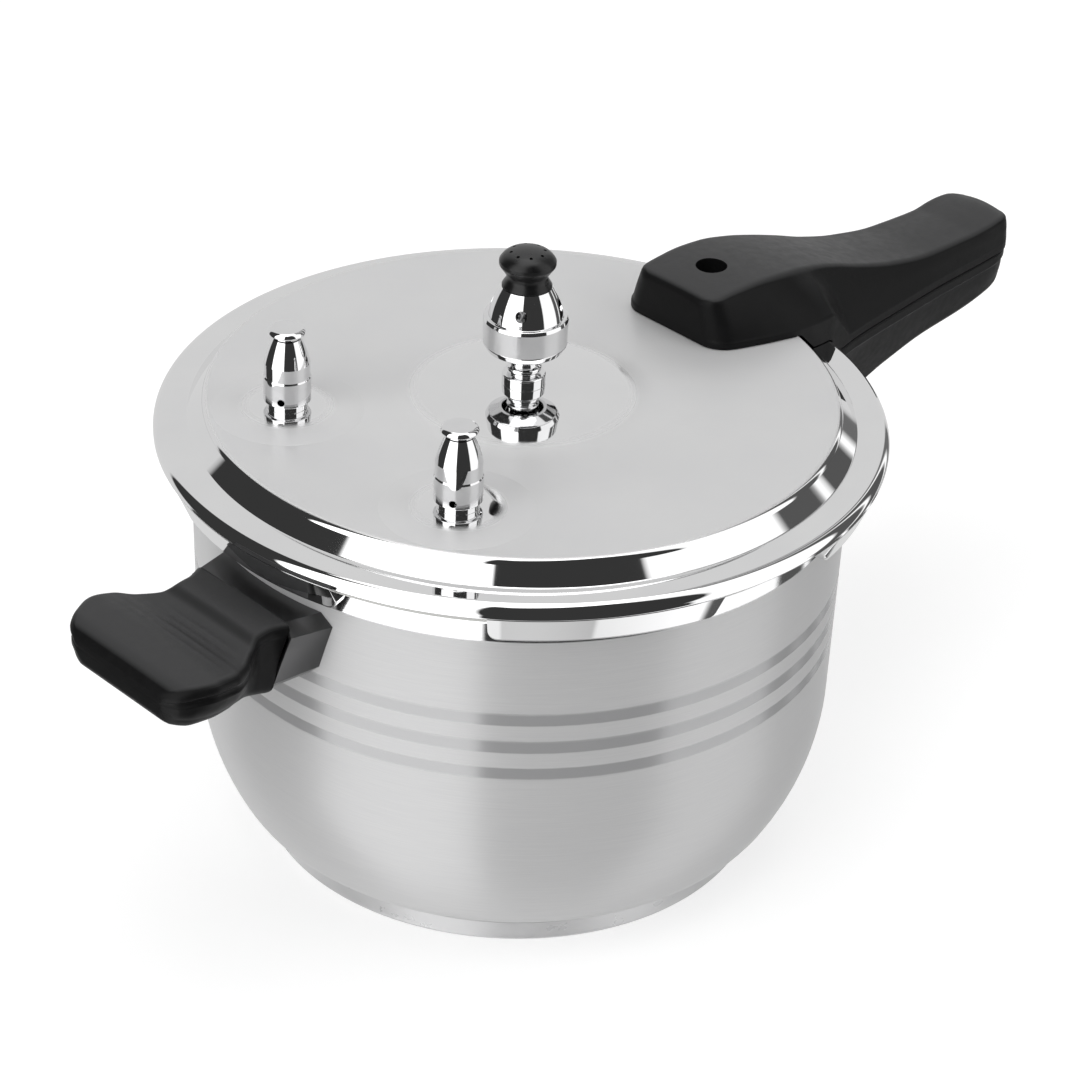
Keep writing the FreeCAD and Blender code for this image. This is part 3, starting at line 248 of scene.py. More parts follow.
def lid_steel():
    """Mirror steel whose flat top is satin, except in rings of polish round the weight and the valves."""
    material, n, shader = new_material("lid_steel")
    place = n.add("ShaderNodeTexCoord").outputs["Object"]
    split = n.add("ShaderNodeSeparateXYZ")
    n.link(place, split.inputs[0])
    flat = None
    for x, y, reach in LID_POLISH:
        distance = n.add("ShaderNodeVectorMath", operation="DISTANCE")
        n.link(place, distance.inputs[0])
        distance.inputs[1].default_value = (x * MM, y * MM, LID_TOP * MM)
        away = n.add("ShaderNodeMapRange")
        away.inputs["From Min"].default_value = (reach - 1.0) * MM
        away.inputs["From Max"].default_value = (reach + 3.0) * MM
        n.link(distance.outputs["Value"], away.inputs["Value"])
        flat = away.outputs[0] if flat is None else n.math("MULTIPLY", flat, away.outputs[0])
    level = n.add("ShaderNodeMapRange")
    level.inputs["From Min"].default_value = LID_SATIN_LOW * MM
    level.inputs["From Max"].default_value = LID_SATIN_FULL * MM
    n.link(split.outputs["Z"], level.inputs["Value"])
    satin = n.math("MULTIPLY", flat, level.outputs[0])
    noise = n.noise(place, 40.0, 4.0)
    mirror = n.ramp(noise.outputs["Fac"], ((0.3, 0.025), (0.7, 0.05)))
    dull = n.ramp(noise.outputs["Fac"], ((0.3, 0.34), (0.7, 0.40)))
    rough = n.add("ShaderNodeMix", data_type="FLOAT")
    n.link(satin, rough.inputs["Factor"])
    n.link(mirror, rough.inputs["A"])
    n.link(dull, rough.inputs["B"])
    n.link(rough.outputs["Result"], shader.inputs["Roughness"])
    tone = n.add("ShaderNodeMix", data_type="RGBA")
    sockets = [socket for socket in tone.inputs if socket.enabled and socket.name in ("A", "B")]
    n.link(satin, tone.inputs["Factor"])
    n.link(n.ramp(noise.outputs["Fac"], ((0.3, (0.84, 0.84, 0.845)), (0.7, (0.87, 0.87, 0.87)))), sockets[0])
    n.link(n.ramp(noise.outputs["Fac"], ((0.3, (0.65, 0.65, 0.655)), (0.7, (0.67, 0.67, 0.67)))), sockets[1])
    n.link([socket for socket in tone.outputs if socket.enabled][0], shader.inputs["Base Color"])
    metal = n.add("ShaderNodeMapRange")
    metal.inputs["To Min"].default_value = 1.0
    metal.inputs["To Max"].default_value = 0.25
    n.link(satin, metal.inputs["Value"])
    n.link(metal.outputs[0], shader.inputs["Metallic"])
    shader.inputs["Specular IOR Level"].default_value = 0.1
    return material


steel_pot = pot_steel()
steel_lid = lid_steel()
steel_mirror = surface("mirror_steel", (0.86, 0.86, 0.865), 1.0, 0.045, 40.0, 0.015)
steel_base = surface("base_steel", (0.60, 0.60, 0.605), 0.25, 0.30, 120.0, 0.04)
steel_plain = surface("plain_steel", (0.60, 0.60, 0.60), 1.0, 0.30, 200.0, 0.05)
steel_guard = surface("guard_steel", (0.14, 0.14, 0.142), 1.0, 0.36, 150.0, 0.05)
chrome = surface("bright_chrome", (0.84, 0.84, 0.845), 1.0, 0.04, 90.0, 0.012)
# Both black plastics get a lighter top colour: painted light from above on faces that look up.
plastic = surface("moulded_black", (0.006, 0.006, 0.0062), 0.0, 0.42, 300.0, 0.05, bump=0.12, specular=0.12,
                  painted_top_color=(0.050, 0.050, 0.051))
plastic_cap = surface("moulded_cap", (0.006, 0.006, 0.0062), 0.0, 0.30, 300.0, 0.04, bump=0.05, specular=0.35,
                      painted_top_color=(0.030, 0.030, 0.0305))
rubber = surface("silicone_rubber", (0.62, 0.62, 0.60), 0.0, 0.55, 200.0, 0.05, bump=0.10)
aluminium = surface("rolled_aluminium", (0.68, 0.68, 0.69), 1.0, 0.40, 200.0, 0.05)

SLOT_MATERIAL = {
    "satin_steel": steel_pot,
    "polished_steel": steel_mirror,
    "guard_steel": steel_guard,
    "plain_steel": steel_plain,
    "chrome": chrome,
    "black_handle": plastic,
    "black_cap": plastic_cap,
    "silicone": rubber,
    "aluminium": aluminium,
}
NODE_MATERIAL = {"base_cap": steel_base}
for subpart in frame["record"]["subparts"]:
    node = frame["nodes"][subpart["node"]]
    node.data.materials.clear()
    node.data.materials.append(NODE_MATERIAL.get(subpart["node"], SLOT_MATERIAL[subpart["material_slot"]]))


# ---------------------------------------------------------------- mesh helpers

SHARP_ANGLE = math.radians(35.0)


def place_piece(name, mesh, material, body, replaced, at=(0.0, 0.0)):
    """A new piece with the normals it has, moved sideways to its place, riding on a body."""
    mesh.transform(Matrix.Translation((at[0] * MM, at[1] * MM, 0.0)))
    obj = bpy.data.objects.new(name, mesh)
    bpy.context.scene.collection.objects.link(obj)
    mesh.materials.clear()
    mesh.materials.append(material)
    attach(obj, body)
    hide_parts(*replaced)
    return obj


def put_moulded(name, mesh, body, replaced):
    """A moulded plastic piece, smooth except at its sharp edges."""
    mesh.shade_smooth()
    mesh.set_sharp_from_angle(angle=SHARP_ANGLE)
    place_piece(name, mesh, plastic, body, replaced)


def mesh_from(points, faces, name):
    """A mesh from points in millimetres."""
    mesh = bpy.data.meshes.new(name)
    mesh.from_pydata([tuple(c * MM for c in point) for point in points], [], faces)
    mesh.validate()
    return mesh


def smooth_rows(rows, x):
    """The values of a table of stations at x, on a monotone cubic through the stations."""
    xs = [row[0] for row in rows]
    x = min(max(x, xs[0]), xs[-1])
    i = 0
    while i < len(xs) - 2 and x > xs[i + 1]:
        i += 1
    values = []
    for column in range(1, len(rows[0])):
        def slope(k):
            k = min(max(k, 0), len(rows) - 2)
            return (rows[k + 1][column] - rows[k][column]) / (xs[k + 1] - xs[k])

        def tangent(k):
            if k == 0 or k == len(rows) - 1:
                return slope(k)
            before, after = slope(k - 1), slope(k)
            return 0.0 if before * after <= 0 else 2.0 * before * after / (before + after)

        step = xs[i + 1] - xs[i]
        t = (x - xs[i]) / step
        a, b = rows[i][column], rows[i + 1][column]
        values.append((2 * t ** 3 - 3 * t ** 2 + 1) * a + (t ** 3 - 2 * t ** 2 + t) * step * tangent(i)
                      + (3 * t ** 2 - 2 * t ** 3) * b + (t ** 3 - t ** 2) * step * tangent(i + 1))
    return values


EDGE_STEPS = 6
CORNER_STEPS = 5


def rounded_outline(corners):
    """A closed outline of (across, up, round, bulge): corners rounded, edges bulged towards the next."""
    count = len(corners)
    points = []
    for i, (y, z, radius, bulge) in enumerate(corners):
        before = Vector(corners[i - 1][:2])
        after = Vector(corners[(i + 1) % count][:2])
        here = Vector((y, z))
        to_before, to_after = before - here, after - here
        reach = min(radius, 0.45 * to_before.length, 0.45 * to_after.length)
        start = here + to_before.normalized() * reach
        end = here + to_after.normalized() * reach
        for k in range(CORNER_STEPS + 1):
            t = k / CORNER_STEPS
            points.append(start * (1 - t) ** 2 + here * 2 * t * (1 - t) + end * t ** 2)
        follow = corners[(i + 1) % count]
        follow_reach = min(follow[2], 0.45 * to_after.length)
        edge_end = after - to_after.normalized() * follow_reach
        outward = Vector((to_after.y, -to_after.x)).normalized()
        for k in range(1, EDGE_STEPS):
            t = k / EDGE_STEPS
            points.append(end.lerp(edge_end, t) + outward * (bulge * 4.0 * t * (1 - t)))
    return points


def lofted(rings, name):
    """A closed form through rings of equal length, each (x, points), from the near end to the far one."""
    points, faces = [], []
    size = len(rings[0][1])
    for x, ring in rings:
        points.extend((x, p.x, p.y) for p in ring)
    for r in range(len(rings) - 1):
        for k in range(size):
            a, b = r * size + k, r * size + (k + 1) % size
            faces.append((a, a + size, b + size, b))
    for ring_index, flip in ((0, False), (len(rings) - 1, True)):
        base = ring_index * size
        centre = len(points)
        ring = rings[ring_index][1]
        middle = sum(ring, Vector((0.0, 0.0))) / size
        points.append((rings[ring_index][0], middle.x, middle.y))
        for k in range(size):
            a, b = base + k, base + (k + 1) % size
            faces.append((centre, b, a) if flip else (centre, a, b))
    mesh = mesh_from(points, faces, name)
    fix_normals(mesh)
    return mesh


def fix_normals(mesh):
    """Turn every face of a closed mesh outwards."""
    work = bmesh.new()
    work.from_mesh(mesh)
    bmesh.ops.recalc_face_normals(work, faces=work.faces)
    work.to_mesh(mesh)
    work.free()


END_STEPS = 7


def end_insets(near, far, near_round, far_round, step):
    """Stations along a form with an inset at each: quarter rounds at both ends."""
    stations = []
    turns = END_STEPS
    for k in range(turns):
        angle = 0.5 * math.pi * k / turns
        stations.append((near + near_round * (1 - math.cos(angle)), near_round * (1 - math.sin(angle))))
    x = near + near_round
    stop = far - far_round
    count = max(2, int(round((stop - x) / step)))
    for k in range(count + 1):
        stations.append((x + (stop - x) * k / count, 0.0))
    for k in range(turns - 1, -1, -1):
        angle = 0.5 * math.pi * k / turns
        stations.append((far - far_round * (1 - math.cos(angle)), far_round * (1 - math.sin(angle))))
    return stations


def revolved(profile, segments, name):
    """A solid of revolution about Z from a closed outline of (radius, height)."""
    points, faces = [], []
    count = len(profile)
    for s in range(segments):
        angle = 2.0 * math.pi * s / segments
        points.extend((r * math.cos(angle), r * math.sin(angle), z) for r, z in profile)
    for s in range(segments):
        t = (s + 1) % segments
        for k in range(count):
            m = (k + 1) % count
            faces.append((s * count + k, t * count + k, t * count + m, s * count + m))
    mesh = mesh_from(points, faces, name)
    fix_normals(mesh)
    return mesh


def capped(points, name):
    """A closed form between two outlines of equal length, given in turn, with a face over each."""
    count = len(points) // 2
    faces = [(k, (k + 1) % count, (k + 1) % count + count, k + count) for k in range(count)]
    faces.append(tuple(range(count - 1, -1, -1)))
    faces.append(tuple(range(count, 2 * count)))
    return mesh_from(points, faces, name)


def upright(x, y, radius, low, high, segments=48):
    """A round cutter standing on (x, y)."""
    turns = [2 * math.pi * k / segments for k in range(segments)]
    ring = [(x + radius * math.cos(turn), y + radius * math.sin(turn)) for turn in turns]
    return capped([(a, b, low) for a, b in ring] + [(a, b, high) for a, b in ring], "round_cutter")


def prism(outline, half):
    """A cutter with an outline seen from the side, as wide to either side as half."""
    mesh = capped([(x, y, z) for y in (-half, half) for x, z in outline], "prism_cutter")
    fix_normals(mesh)
    return mesh


def box_cutter(near, far, half, low, high):
    return prism(((near, low), (far, low), (far, high), (near, high)), half)


def cut(mesh, cutters):
    """A mesh with the cutters taken out of it exactly; it and they are used up."""
    scene = bpy.context.scene
    obj = bpy.data.objects.new("work", mesh)
    scene.collection.objects.link(obj)
    helpers = []
    for number, cutter in enumerate(cutters):
        helper = bpy.data.objects.new(f"cutter_{number}", cutter)
        scene.collection.objects.link(helper)
        helpers.append(helper)
        step = obj.modifiers.new(f"cut_{number}", "BOOLEAN")
        step.operation = "DIFFERENCE"
        step.solver = "EXACT"
        step.object = helper
    graph = bpy.context.evaluated_depsgraph_get()
    result = bpy.data.meshes.new_from_object(obj.evaluated_get(graph))
    for helper in helpers:
        cutter = helper.data
        bpy.data.objects.remove(helper)
        bpy.data.meshes.remove(cutter)
    bpy.data.objects.remove(obj)
    bpy.data.meshes.remove(mesh)
    return result


# ---------------------------------------------------------------- handles

LID_HANDLE_ROWS = (
    (69.0, 178.8, 19.0, 163.5, 22.0),
    (80.0, 180.0, 19.4, 163.0, 26.2),
    (90.0, 180.4, 19.8, 162.5, 29.4),
    (101.0, 179.8, 19.8, 160.0, 32.0),
    (113.0, 178.0, 18.8, 155.5, 32.6),
    (124.0, 175.4, 17.6, 151.0, 30.2),
    (136.0, 171.8, 16.7, 149.5, 27.4),
    (150.0, 167.0, 16.2, 149.5, 25.2),
    (168.0, 162.2, 16.2, 149.5, 22.8),
    (190.0, 159.0, 15.8, 149.5, 20.0),
    (212.0, 158.6, 15.4, 149.5, 18.0),
    (222.0, 159.6, 15.8, 149.5, 17.0),
    (230.0, 160.2, 15.0, 149.5, 15.8),
    (235.0, 159.5, 12.0, 149.5, 12.8),
    (237.5, 157.5, 8.0, 149.5, 8.8),
)
POT_HANDLE_ROWS = (
    (113.4, 103.0, 13.0, 24.0),
    (124.0, 105.0, 14.0, 29.6),
    (136.0, 109.0, 15.0, 27.4),
    (150.0, 114.0, 15.4, 25.2),
    (168.0, 120.0, 15.2, 22.8),
    (190.0, 124.2, 14.2, 20.0),
    (212.0, 126.0, 13.0, 17.8),
    (226.0, 127.6, 11.6, 16.2),
    (234.5, 129.0, 9.6, 12.8),
    (237.5, 131.5, 6.2, 8.8),
)
HELPER_ROWS = (
    (118.0, 106.2, 21.6, 131.2, 24.4, 0.0),
    (126.0, 106.6, 21.6, 131.0, 21.4, 0.0),
    (130.0, 107.5, 21.4, 130.5, 21.4, 0.0),
    (135.0, 109.0, 21.8, 128.0, 24.0, 0.0),
    (141.0, 110.5, 24.0, 127.5, 28.5, 0.5),
    (148.0, 112.0, 27.0, 129.0, 32.5, 1.0),
    (155.0, 113.0, 28.5, 130.0, 33.5, 1.0),
    (162.0, 113.5, 28.0, 129.5, 31.0, 1.0),
    (167.0, 114.5, 25.0, 128.0, 27.5, 1.0),
    (169.5, 116.5, 21.0, 126.0, 23.0, 1.0),
)
# Holes and slots of the handles: screws by place, bracket slots as (near, far, half width, low, high).
WINDOW_RADIUS = 5.5
WINDOW_WELL = 8.0
LID_SCREW_X = 131.0
LID_SCREW_Y = 6.0
POT_SCREW_X = 146.0
HELPER_SCREW_X = 142.0
HEAD_HOLE = 3.8
SCREW_HOLE = 2.2
LID_SLOT = (73.8, 140.2, 9.7, 160.0, 165.7)
POT_SLOT = (105.6, 158.2, 8.2, 121.8, 126.2)
HELPER_SLOT = (105.6, 150.2, 8.2, 118.8, 122.2)
PLAN_CORNER = 6.5
LID_GAP = 0.3
SEAM_HIGH = 147.4
SEAM_LOW = 146.6
HANDLE_EDGE = 2.4
LIP_HIGH = 164.6
LIP_OUT = 0.7


def lid_handle():
    """Upper long handle: broad over the lid, with a lip that fades out where it narrows to the grip."""
    near_end, far_end = LID_HANDLE_ROWS[0][0], LID_HANDLE_ROWS[-1][0]
    stations = end_insets(near_end, far_end, 3.0, 2.5, 1.5)

    def ring(x, inset):
        edge, half, knee, side = smooth_rows(LID_HANDLE_ROWS, x)
        short = max(PLAN_CORNER - (x - near_end), 0.0)
        plan = PLAN_CORNER - math.sqrt(max(PLAN_CORNER ** 2 - short ** 2, 0.0))
        half -= plan
        side -= plan
        edge -= inset * 0.8
        slope = min(max((x - 118.0) / 12.0, 0.0), 1.0)
        lip_out = LIP_OUT * (1.0 - slope)
        lip = max(LIP_HIGH, knee + 0.6) if slope < 1.0 else knee + 0.6
        lip = lip * (1.0 - slope) + (knee + 0.6) * slope
        crown = 0.35 + 0.5 * min(max((x - 110.0) / 50.0, 0.0), 1.0)
        sharp = 1.2 + 1.6 * slope
        right = (
            (side, SEAM_HIGH, 0.6, 0.0),
            (side, lip - 0.2, 0.4, 0.0),
            (side - lip_out, lip + 0.5, sharp, 0.2),
            (half - 0.4, edge - 1.0, 1.6, 0.0),
            (half - HANDLE_EDGE, edge, 1.6, crown),
        )
        left = tuple((-y, z, r, 0.2 if k == 1 else 0.0) for k, (y, z, r, b) in enumerate(reversed(right)))
        return rounded_outline(right + left)

    mesh = lofted([(x, ring(x, inset)) for x, inset in stations], "lid_handle_form")
    gap = LID_GAP
    clearance = revolved((
        (40.0, LID_TOP + gap), (105.5, LID_TOP + gap), (106.6, 161.4 + gap), (111.6 + gap * 3, 155.2 + gap),
        (119.3 + gap * 3, 155.2 + gap), (121.6 + gap * 2, 154.0 + gap), (122.5 + gap, 151.6 + gap * 3),
        (122.5 + gap, 139.9), (40.0, 139.9),
    ), 192, "lid_clearance")
    mesh = cut(mesh, [
        clearance,
        upright(FLOAT_X, 0.0, WINDOW_RADIUS, 160.0, 190.0, 64),
        upright(FLOAT_X, 0.0, WINDOW_WELL, 160.0, 173.5, 64),
        box_cutter(*LID_SLOT),
        upright(LID_SCREW_X, LID_SCREW_Y, HEAD_HOLE, 140.0, 151.4),
        upright(LID_SCREW_X, -LID_SCREW_Y, HEAD_HOLE, 140.0, 151.4),
        upright(LID_SCREW_X, LID_SCREW_Y, SCREW_HOLE, 140.0, 168.5),
        upright(LID_SCREW_X, -LID_SCREW_Y, SCREW_HOLE, 140.0, 168.5),
    ])
    put_moulded("moulded_lid_handle", mesh, "lid", ("lid_handle",))


def pot_handle():
    """Lower long handle, which lies under the upper one along a flat seam."""
    stations = end_insets(POT_HANDLE_ROWS[0][0], POT_HANDLE_ROWS[-1][0], 0.5, 2.5, 1.5)

    def ring(x, inset):
        low, half, side = smooth_rows(POT_HANDLE_ROWS, x)
        low += inset * 0.8
        right = (
            (half - 1.6, low, 3.0, 0.0),
            (half + 0.9, low + 2.6, 3.2, 0.3),
            (side - 0.8, SEAM_LOW - 4.2, 0.8, 0.0),
            (side, SEAM_LOW - 3.4, 0.6, 0.0),
            (side, SEAM_LOW, 0.5, 0.0),
        )
        left = tuple((-y, z, r, 0.3 if k == 2 else 0.0) for k, (y, z, r, b) in enumerate(reversed(right)))
        return rounded_outline(right + left)

    mesh = lofted([(x, ring(x, inset)) for x, inset in stations], "pot_handle_form")
    sweep = revolved(((40.0, 138.9), (123.3, 138.9), (123.3, LID_TOP), (40.0, LID_TOP)), 192, "claw_sweep")
    mesh = cut(mesh, [
        sweep,
        box_cutter(*POT_SLOT),
        upright(POT_SCREW_X, 0.0, HEAD_HOLE, 100.0, 118.0),
        upright(POT_SCREW_X, 0.0, SCREW_HOLE, 100.0, 129.0),
    ])
    put_moulded("moulded_pot_handle", mesh, "pot", ("pot_handle",))


RIDGES = (139.0, 142.6, 146.2, 149.8)


def helper_handle():
    """Short handle opposite the long ones, with finger grooves at its sides and ridges on top."""
    stations = end_insets(HELPER_ROWS[0][0], HELPER_ROWS[-1][0], 0.5, 1.6, 0.75)

    def ring(x, inset):
        low, half, edge, side, groove = smooth_rows(HELPER_ROWS, x)
        low += inset
        edge -= inset
        half -= inset
        side -= inset
        tall = min((edge - low) / 15.0, 1.0)
        depth = 0.9 * groove
        ridge = 0.0
        for place in RIDGES:
            ridge += 0.35 * math.exp(-((x - place) / 0.8) ** 2)
        right = (
            (half - 2.0, low, 3.0, 0.0),
            (half, low + 2.2 * tall, 2.6, 0.5 * groove),
            (side - 0.3, edge - 6.4 * tall, 0.8, 0.0),
            (side - 0.3 - depth, edge - 5.6 * tall, 0.6, 0.0),
            (side - 0.3 - depth, edge - 4.4 * tall, 0.6, 0.0),
            (side, edge - 3.4 * tall, 0.6, 0.0),
            (side, edge - 1.6 * tall, 1.4, 0.0),
            (side - 2.0, edge, 1.6, 0.3 + ridge),
        )
        left = tuple((-y, z, r, 0.5 * groove if k == 5 else 0.0)
                     for k, (y, z, r, b) in enumerate(reversed(right)))
        return rounded_outline(right + left)

    mesh = lofted([(x, ring(x, inset)) for x, inset in stations], "helper_handle_form")
    low_x, high_x, low, high = 126.0, 119.4, 106.4, 131.4
    lean = (high_x - low_x) / (high - low)
    mesh = cut(mesh, [
        prism((
            (low_x + 0.05 - lean * 10, low - 10), (high_x + 0.05 + lean * 10, high + 10),
            (90.0, high + 10), (90.0, low - 10),
        ), 60.0),
        box_cutter(*HELPER_SLOT),
        upright(HELPER_SCREW_X, 0.0, HEAD_HOLE, 90.0, 114.6),
        upright(HELPER_SCREW_X, 0.0, SCREW_HOLE, 90.0, 125.0),
    ])
    mesh.transform(Matrix.Rotation(math.pi, 4, "Z"))
    put_moulded("moulded_helper_handle", mesh, "pot", ("helper_handle",))


lid_handle()
pot_handle()
helper_handle()


# ---------------------------------------------------------------- turned metal with exact normals

FILLET_STEPS = 6
ARC_STEP = math.radians(4.0)


def outline_segments(items):
    """Segments (start, end, tangent at start, tangent at end) of a closed outline.

    Its items are (radius, height, round, arc). It runs anticlockwise with the radius to the right, so its
    solid is on the left. round rounds the corner; arc is the radius of the edge that arrives there, positive
    where it bulges out of the solid.
    """
    items = [tuple(item) + (0.0,) * (4 - len(item)) for item in items]
    count = len(items)
    edges = []
    for i in range(count):
        start, end, arc = Vector(items[i][:2]), Vector(items[(i + 1) % count][:2]), items[(i + 1) % count][3]
        chord = end - start
        if arc:
            half = math.asin(min(chord.length / 2.0 / abs(arc), 1.0)) * (1.0 if arc > 0 else -1.0)
            direction = chord.normalized()
            edges.append([start, end, turned_by(direction, -half), turned_by(direction, half),
                          arc, 2.0 * half])
        else:
            direction = chord.normalized()
            edges.append([start, end, direction, direction, 0.0, 0.0])
    trims = []
    for i in range(count):
        arriving, leaving = edges[i - 1], edges[i]
        turn = arriving[3].angle_signed(leaving[2])
        size = items[i][2]
        trims.append(abs(size * math.tan(abs(turn) / 2.0)) if size and abs(turn) > 0.01 else 0.0)
    segments = []
    for i in range(count):
        start, end, first, last, arc, sweep = edges[i]
        before, after = trims[i], trims[(i + 1) % count]
        pieces = []
        if arc:
            steps = max(4, int(math.ceil(abs(sweep) / ARC_STEP)))
            length = abs(arc * sweep)
            low, high = before / length, 1.0 - after / length
            place = Vector(start)
            samples = []
            for k in range(steps + 1):
                t = low + (high - low) * k / steps
                angle = sweep * t
                reach = 2.0 * abs(arc) * math.sin(abs(angle) / 2.0)
                samples.append((place + turned_by(first, angle / 2.0) * reach, turned_by(first, angle)))
            for k in range(steps):
                pieces.append((samples[k][0], samples[k + 1][0], samples[k][1], samples[k + 1][1]))
        else:
            pieces.append((start + first * before, end - first * after, first, first))
        segments.extend(pieces)
        if after:
            leaving = edges[(i + 1) % count]
            turn = last.angle_signed(leaving[2])
            begin = pieces[-1][1]
            radius = items[(i + 1) % count][2]
            previous, heading = begin, last
            for k in range(1, FILLET_STEPS + 1):
                angle = -turn * k / FILLET_STEPS
                reach = 2.0 * radius * math.sin(abs(angle) / 2.0)
                here = begin + turned_by(last, angle / 2.0) * reach
                facing = turned_by(last, angle)
                segments.append((previous, here, heading, facing))
                previous, heading = here, facing
    return segments


def turned_by(vector, angle):
    """A flat vector turned anticlockwise."""
    return Vector((vector.x * math.cos(angle) - vector.y * math.sin(angle),
                   vector.x * math.sin(angle) + vector.y * math.cos(angle)))


def turned_mesh(segments, around):
    """Revolved surface of an outline's segments, in millimetres about Z."""
    profile = [(s[0].x, s[0].y) for s in segments]
    count = len(profile)
    points, rows = [], []
    for r, z in profile:
        if r < 1e-6:
            rows.append([len(points)] * around)
            points.append((0.0, 0.0, z))
        else:
            rows.append(list(range(len(points), len(points) + around)))
            points.extend((r * math.cos(2 * math.pi * k / around), r * math.sin(2 * math.pi * k / around), z)
                          for k in range(around))
    faces = []
    for i in range(count):
        a, b = rows[i], rows[(i + 1) % count]
        if a[0] == a[-1] and b[0] == b[-1]:
            continue
        for k in range(around):
            m = (k + 1) % around
            corners = [a[k], a[m], b[m], b[k]]
            faces.append(tuple(dict.fromkeys(corners)))
    return mesh_from(points, faces, "turned")


ON_SURFACE = 0.08


def exact_normals(mesh, segments):
    """Give every face that lies on the turned surface the surface's own normals."""
    starts = np.array([tuple(s[0]) for s in segments])
    ends = np.array([tuple(s[1]) for s in segments])
    firsts = np.array([tuple(s[2]) for s in segments])
    lasts = np.array([tuple(s[3]) for s in segments])
    spans = ends - starts
    squares = np.maximum((spans ** 2).sum(1), 1e-12)
    mesh.shade_smooth()
    normals = [(0.0, 0.0, 0.0)] * len(mesh.loops)
    for face in mesh.polygons:
        places = np.array([mesh.vertices[v].co[:] for v in face.vertices]) / MM
        middle = np.array((np.hypot(places[:, 0], places[:, 1]).mean(), places[:, 2].mean()))
        t = np.clip(((middle - starts) * spans).sum(1) / squares, 0.0, 1.0)
        gaps = np.hypot(*(starts + spans * t[:, None] - middle).T)
        pick = int(gaps.argmin())
        flat = face.normal
        for loop, place in zip(face.loop_indices, places):
            r = math.hypot(place[0], place[1])
            reach = ((np.array((r, place[2])) - starts[pick]) * spans[pick]).sum() / squares[pick]
            s = min(max(float(reach), 0.0), 1.0)
            along = firsts[pick] * (1 - s) + lasts[pick] * s
            if r > 1e-6:
                exact = Vector((along[1] * place[0] / r, along[1] * place[1] / r, -along[0])).normalized()
            else:
                exact = Vector((0.0, 0.0, -along[0])).normalized()
            if gaps[pick] < ON_SURFACE and exact.dot(flat) > 0.5:
                normals[loop] = tuple(exact)
            else:
                normals[loop] = tuple(flat)
    mesh.normals_split_custom_set(normals)


def turned(items, around, cutters=()):
    """A turned piece from its outline, with the cutters taken out, and the surface's own normals."""
    segments = outline_segments(items)
    mesh = turned_mesh(segments, around)
    if cutters:
        mesh = cut(mesh, cutters)
    exact_normals(mesh, segments)
    return mesh


def joined(meshes):
    """One mesh out of several, each with its own normals kept."""
    points, faces, normals = [], [], []
    for mesh in meshes:
        base = len(points)
        points.extend(v.co[:] for v in mesh.vertices)
        for face in mesh.polygons:
            faces.append(tuple(base + v for v in face.vertices))
            normals.extend(tuple(mesh.corner_normals[loop].vector) for loop in face.loop_indices)
    result = bpy.data.meshes.new("joined")
    result.from_pydata(points, [], faces)
    result.shade_smooth()
    result.normals_split_custom_set(normals)
    return result


def sideways(angle, height, radius, reach, segments=40):
    """A round cutter lying level at a height, pointing out at an angle about Z, from the axis to a reach."""
    out = Vector((math.cos(angle), math.sin(angle), 0.0))
    side = Vector((-math.sin(angle), math.cos(angle), 0.0))
    points = []
    for distance in reach:
        for k in range(segments):
            turn = 2 * math.pi * k / segments
            place = out * distance + side * (radius * math.cos(turn))
            points.append((place.x, place.y, height + radius * math.sin(turn)))
    mesh = capped(points, "level_cutter")
    fix_normals(mesh)
    return mesh


def lid():
    """Pressed lid: raised boss and crown, rolled bead, six hooked claws and a low boss under each valve."""
    top = LID_TOP
    items = (
        (120.9, 149.5, 0.3),
        (122.5, 150.4, 0.6),
        (122.5, 151.6),
        (119.3, 155.2, 0.0, 3.4),
        (111.6, 155.2, 0.9),
        (106.4, 160.2, 0.4),
        (104.6, top, 0.0, 2.6),
        (BOSS_FOOT, top, 30.0),
        (BOSS_RADIUS, top + BOSS_RISE, 0.0, BOSS_ARC),
        (HOLE, top + BOSS_RISE, 0.2),
        (HOLE, top + BOSS_RISE - LID_SHEET, 0.2),
        (BOSS_RADIUS, top + BOSS_RISE - LID_SHEET),
        (BOSS_FOOT, top - LID_SHEET, 0.0, -BOSS_ARC),
        (104.2, top - LID_SHEET, 0.0),
        (109.8, 153.9, 0.8),
        (118.4, 153.2, 0.8),
        (120.3, 150.6, 0.8),
        (120.0, 149.5, 0.3),
    )
    holes = [upright(*valve_place(letter), HOLE, 150.0, 170.0) for letter in "ab"]
    holes.append(upright(FLOAT_X, 0.0, HOLE, 150.0, 170.0))
    shells = [turned(items, 240, holes)]
    for letter in "ab":
        boss = turned((
            (VALVE_BOSS_FOOT + 0.3, top - 0.15),
            (VALVE_BOSS_FOOT, top + 0.02, 0.0),
            (VALVE_BOSS_RADIUS, top + VALVE_BOSS_RISE, 0.0, VALVE_BOSS_ARC),
            (HOLE, top + VALVE_BOSS_RISE, 0.1),
            (HOLE, top - 0.15),
        ), 120)
        x, y = valve_place(letter)
        boss.transform(Matrix.Translation((x * MM, y * MM, 0.0)))
        shells.append(boss)
    shells.append(claws())
    place_piece("pressed_lid", joined(shells), steel_lid, "lid", ("lid_shell",))


CLAWS = 6
CLAW_CORNER_STEPS = 8
CLAW_STEPS = 24
CLAW_CORNER_RADIUS = 118.0
CLAW_OUTLINE = (
    (112.6, 139.9, 0.4),
    (117.7, 139.9, 0.9),
    (118.4, 140.9, 0.6),
    (122.1, 149.9),
    (120.1, 149.9),
    (116.6, 142.3, 0.4),
    (112.6, 142.2, 0.4),
)
CLAW_HALF = 18.0
CLAW_CORNER = 3.2
CLAW_FOOT = 139.9
CLAW_HEAD = 149.9


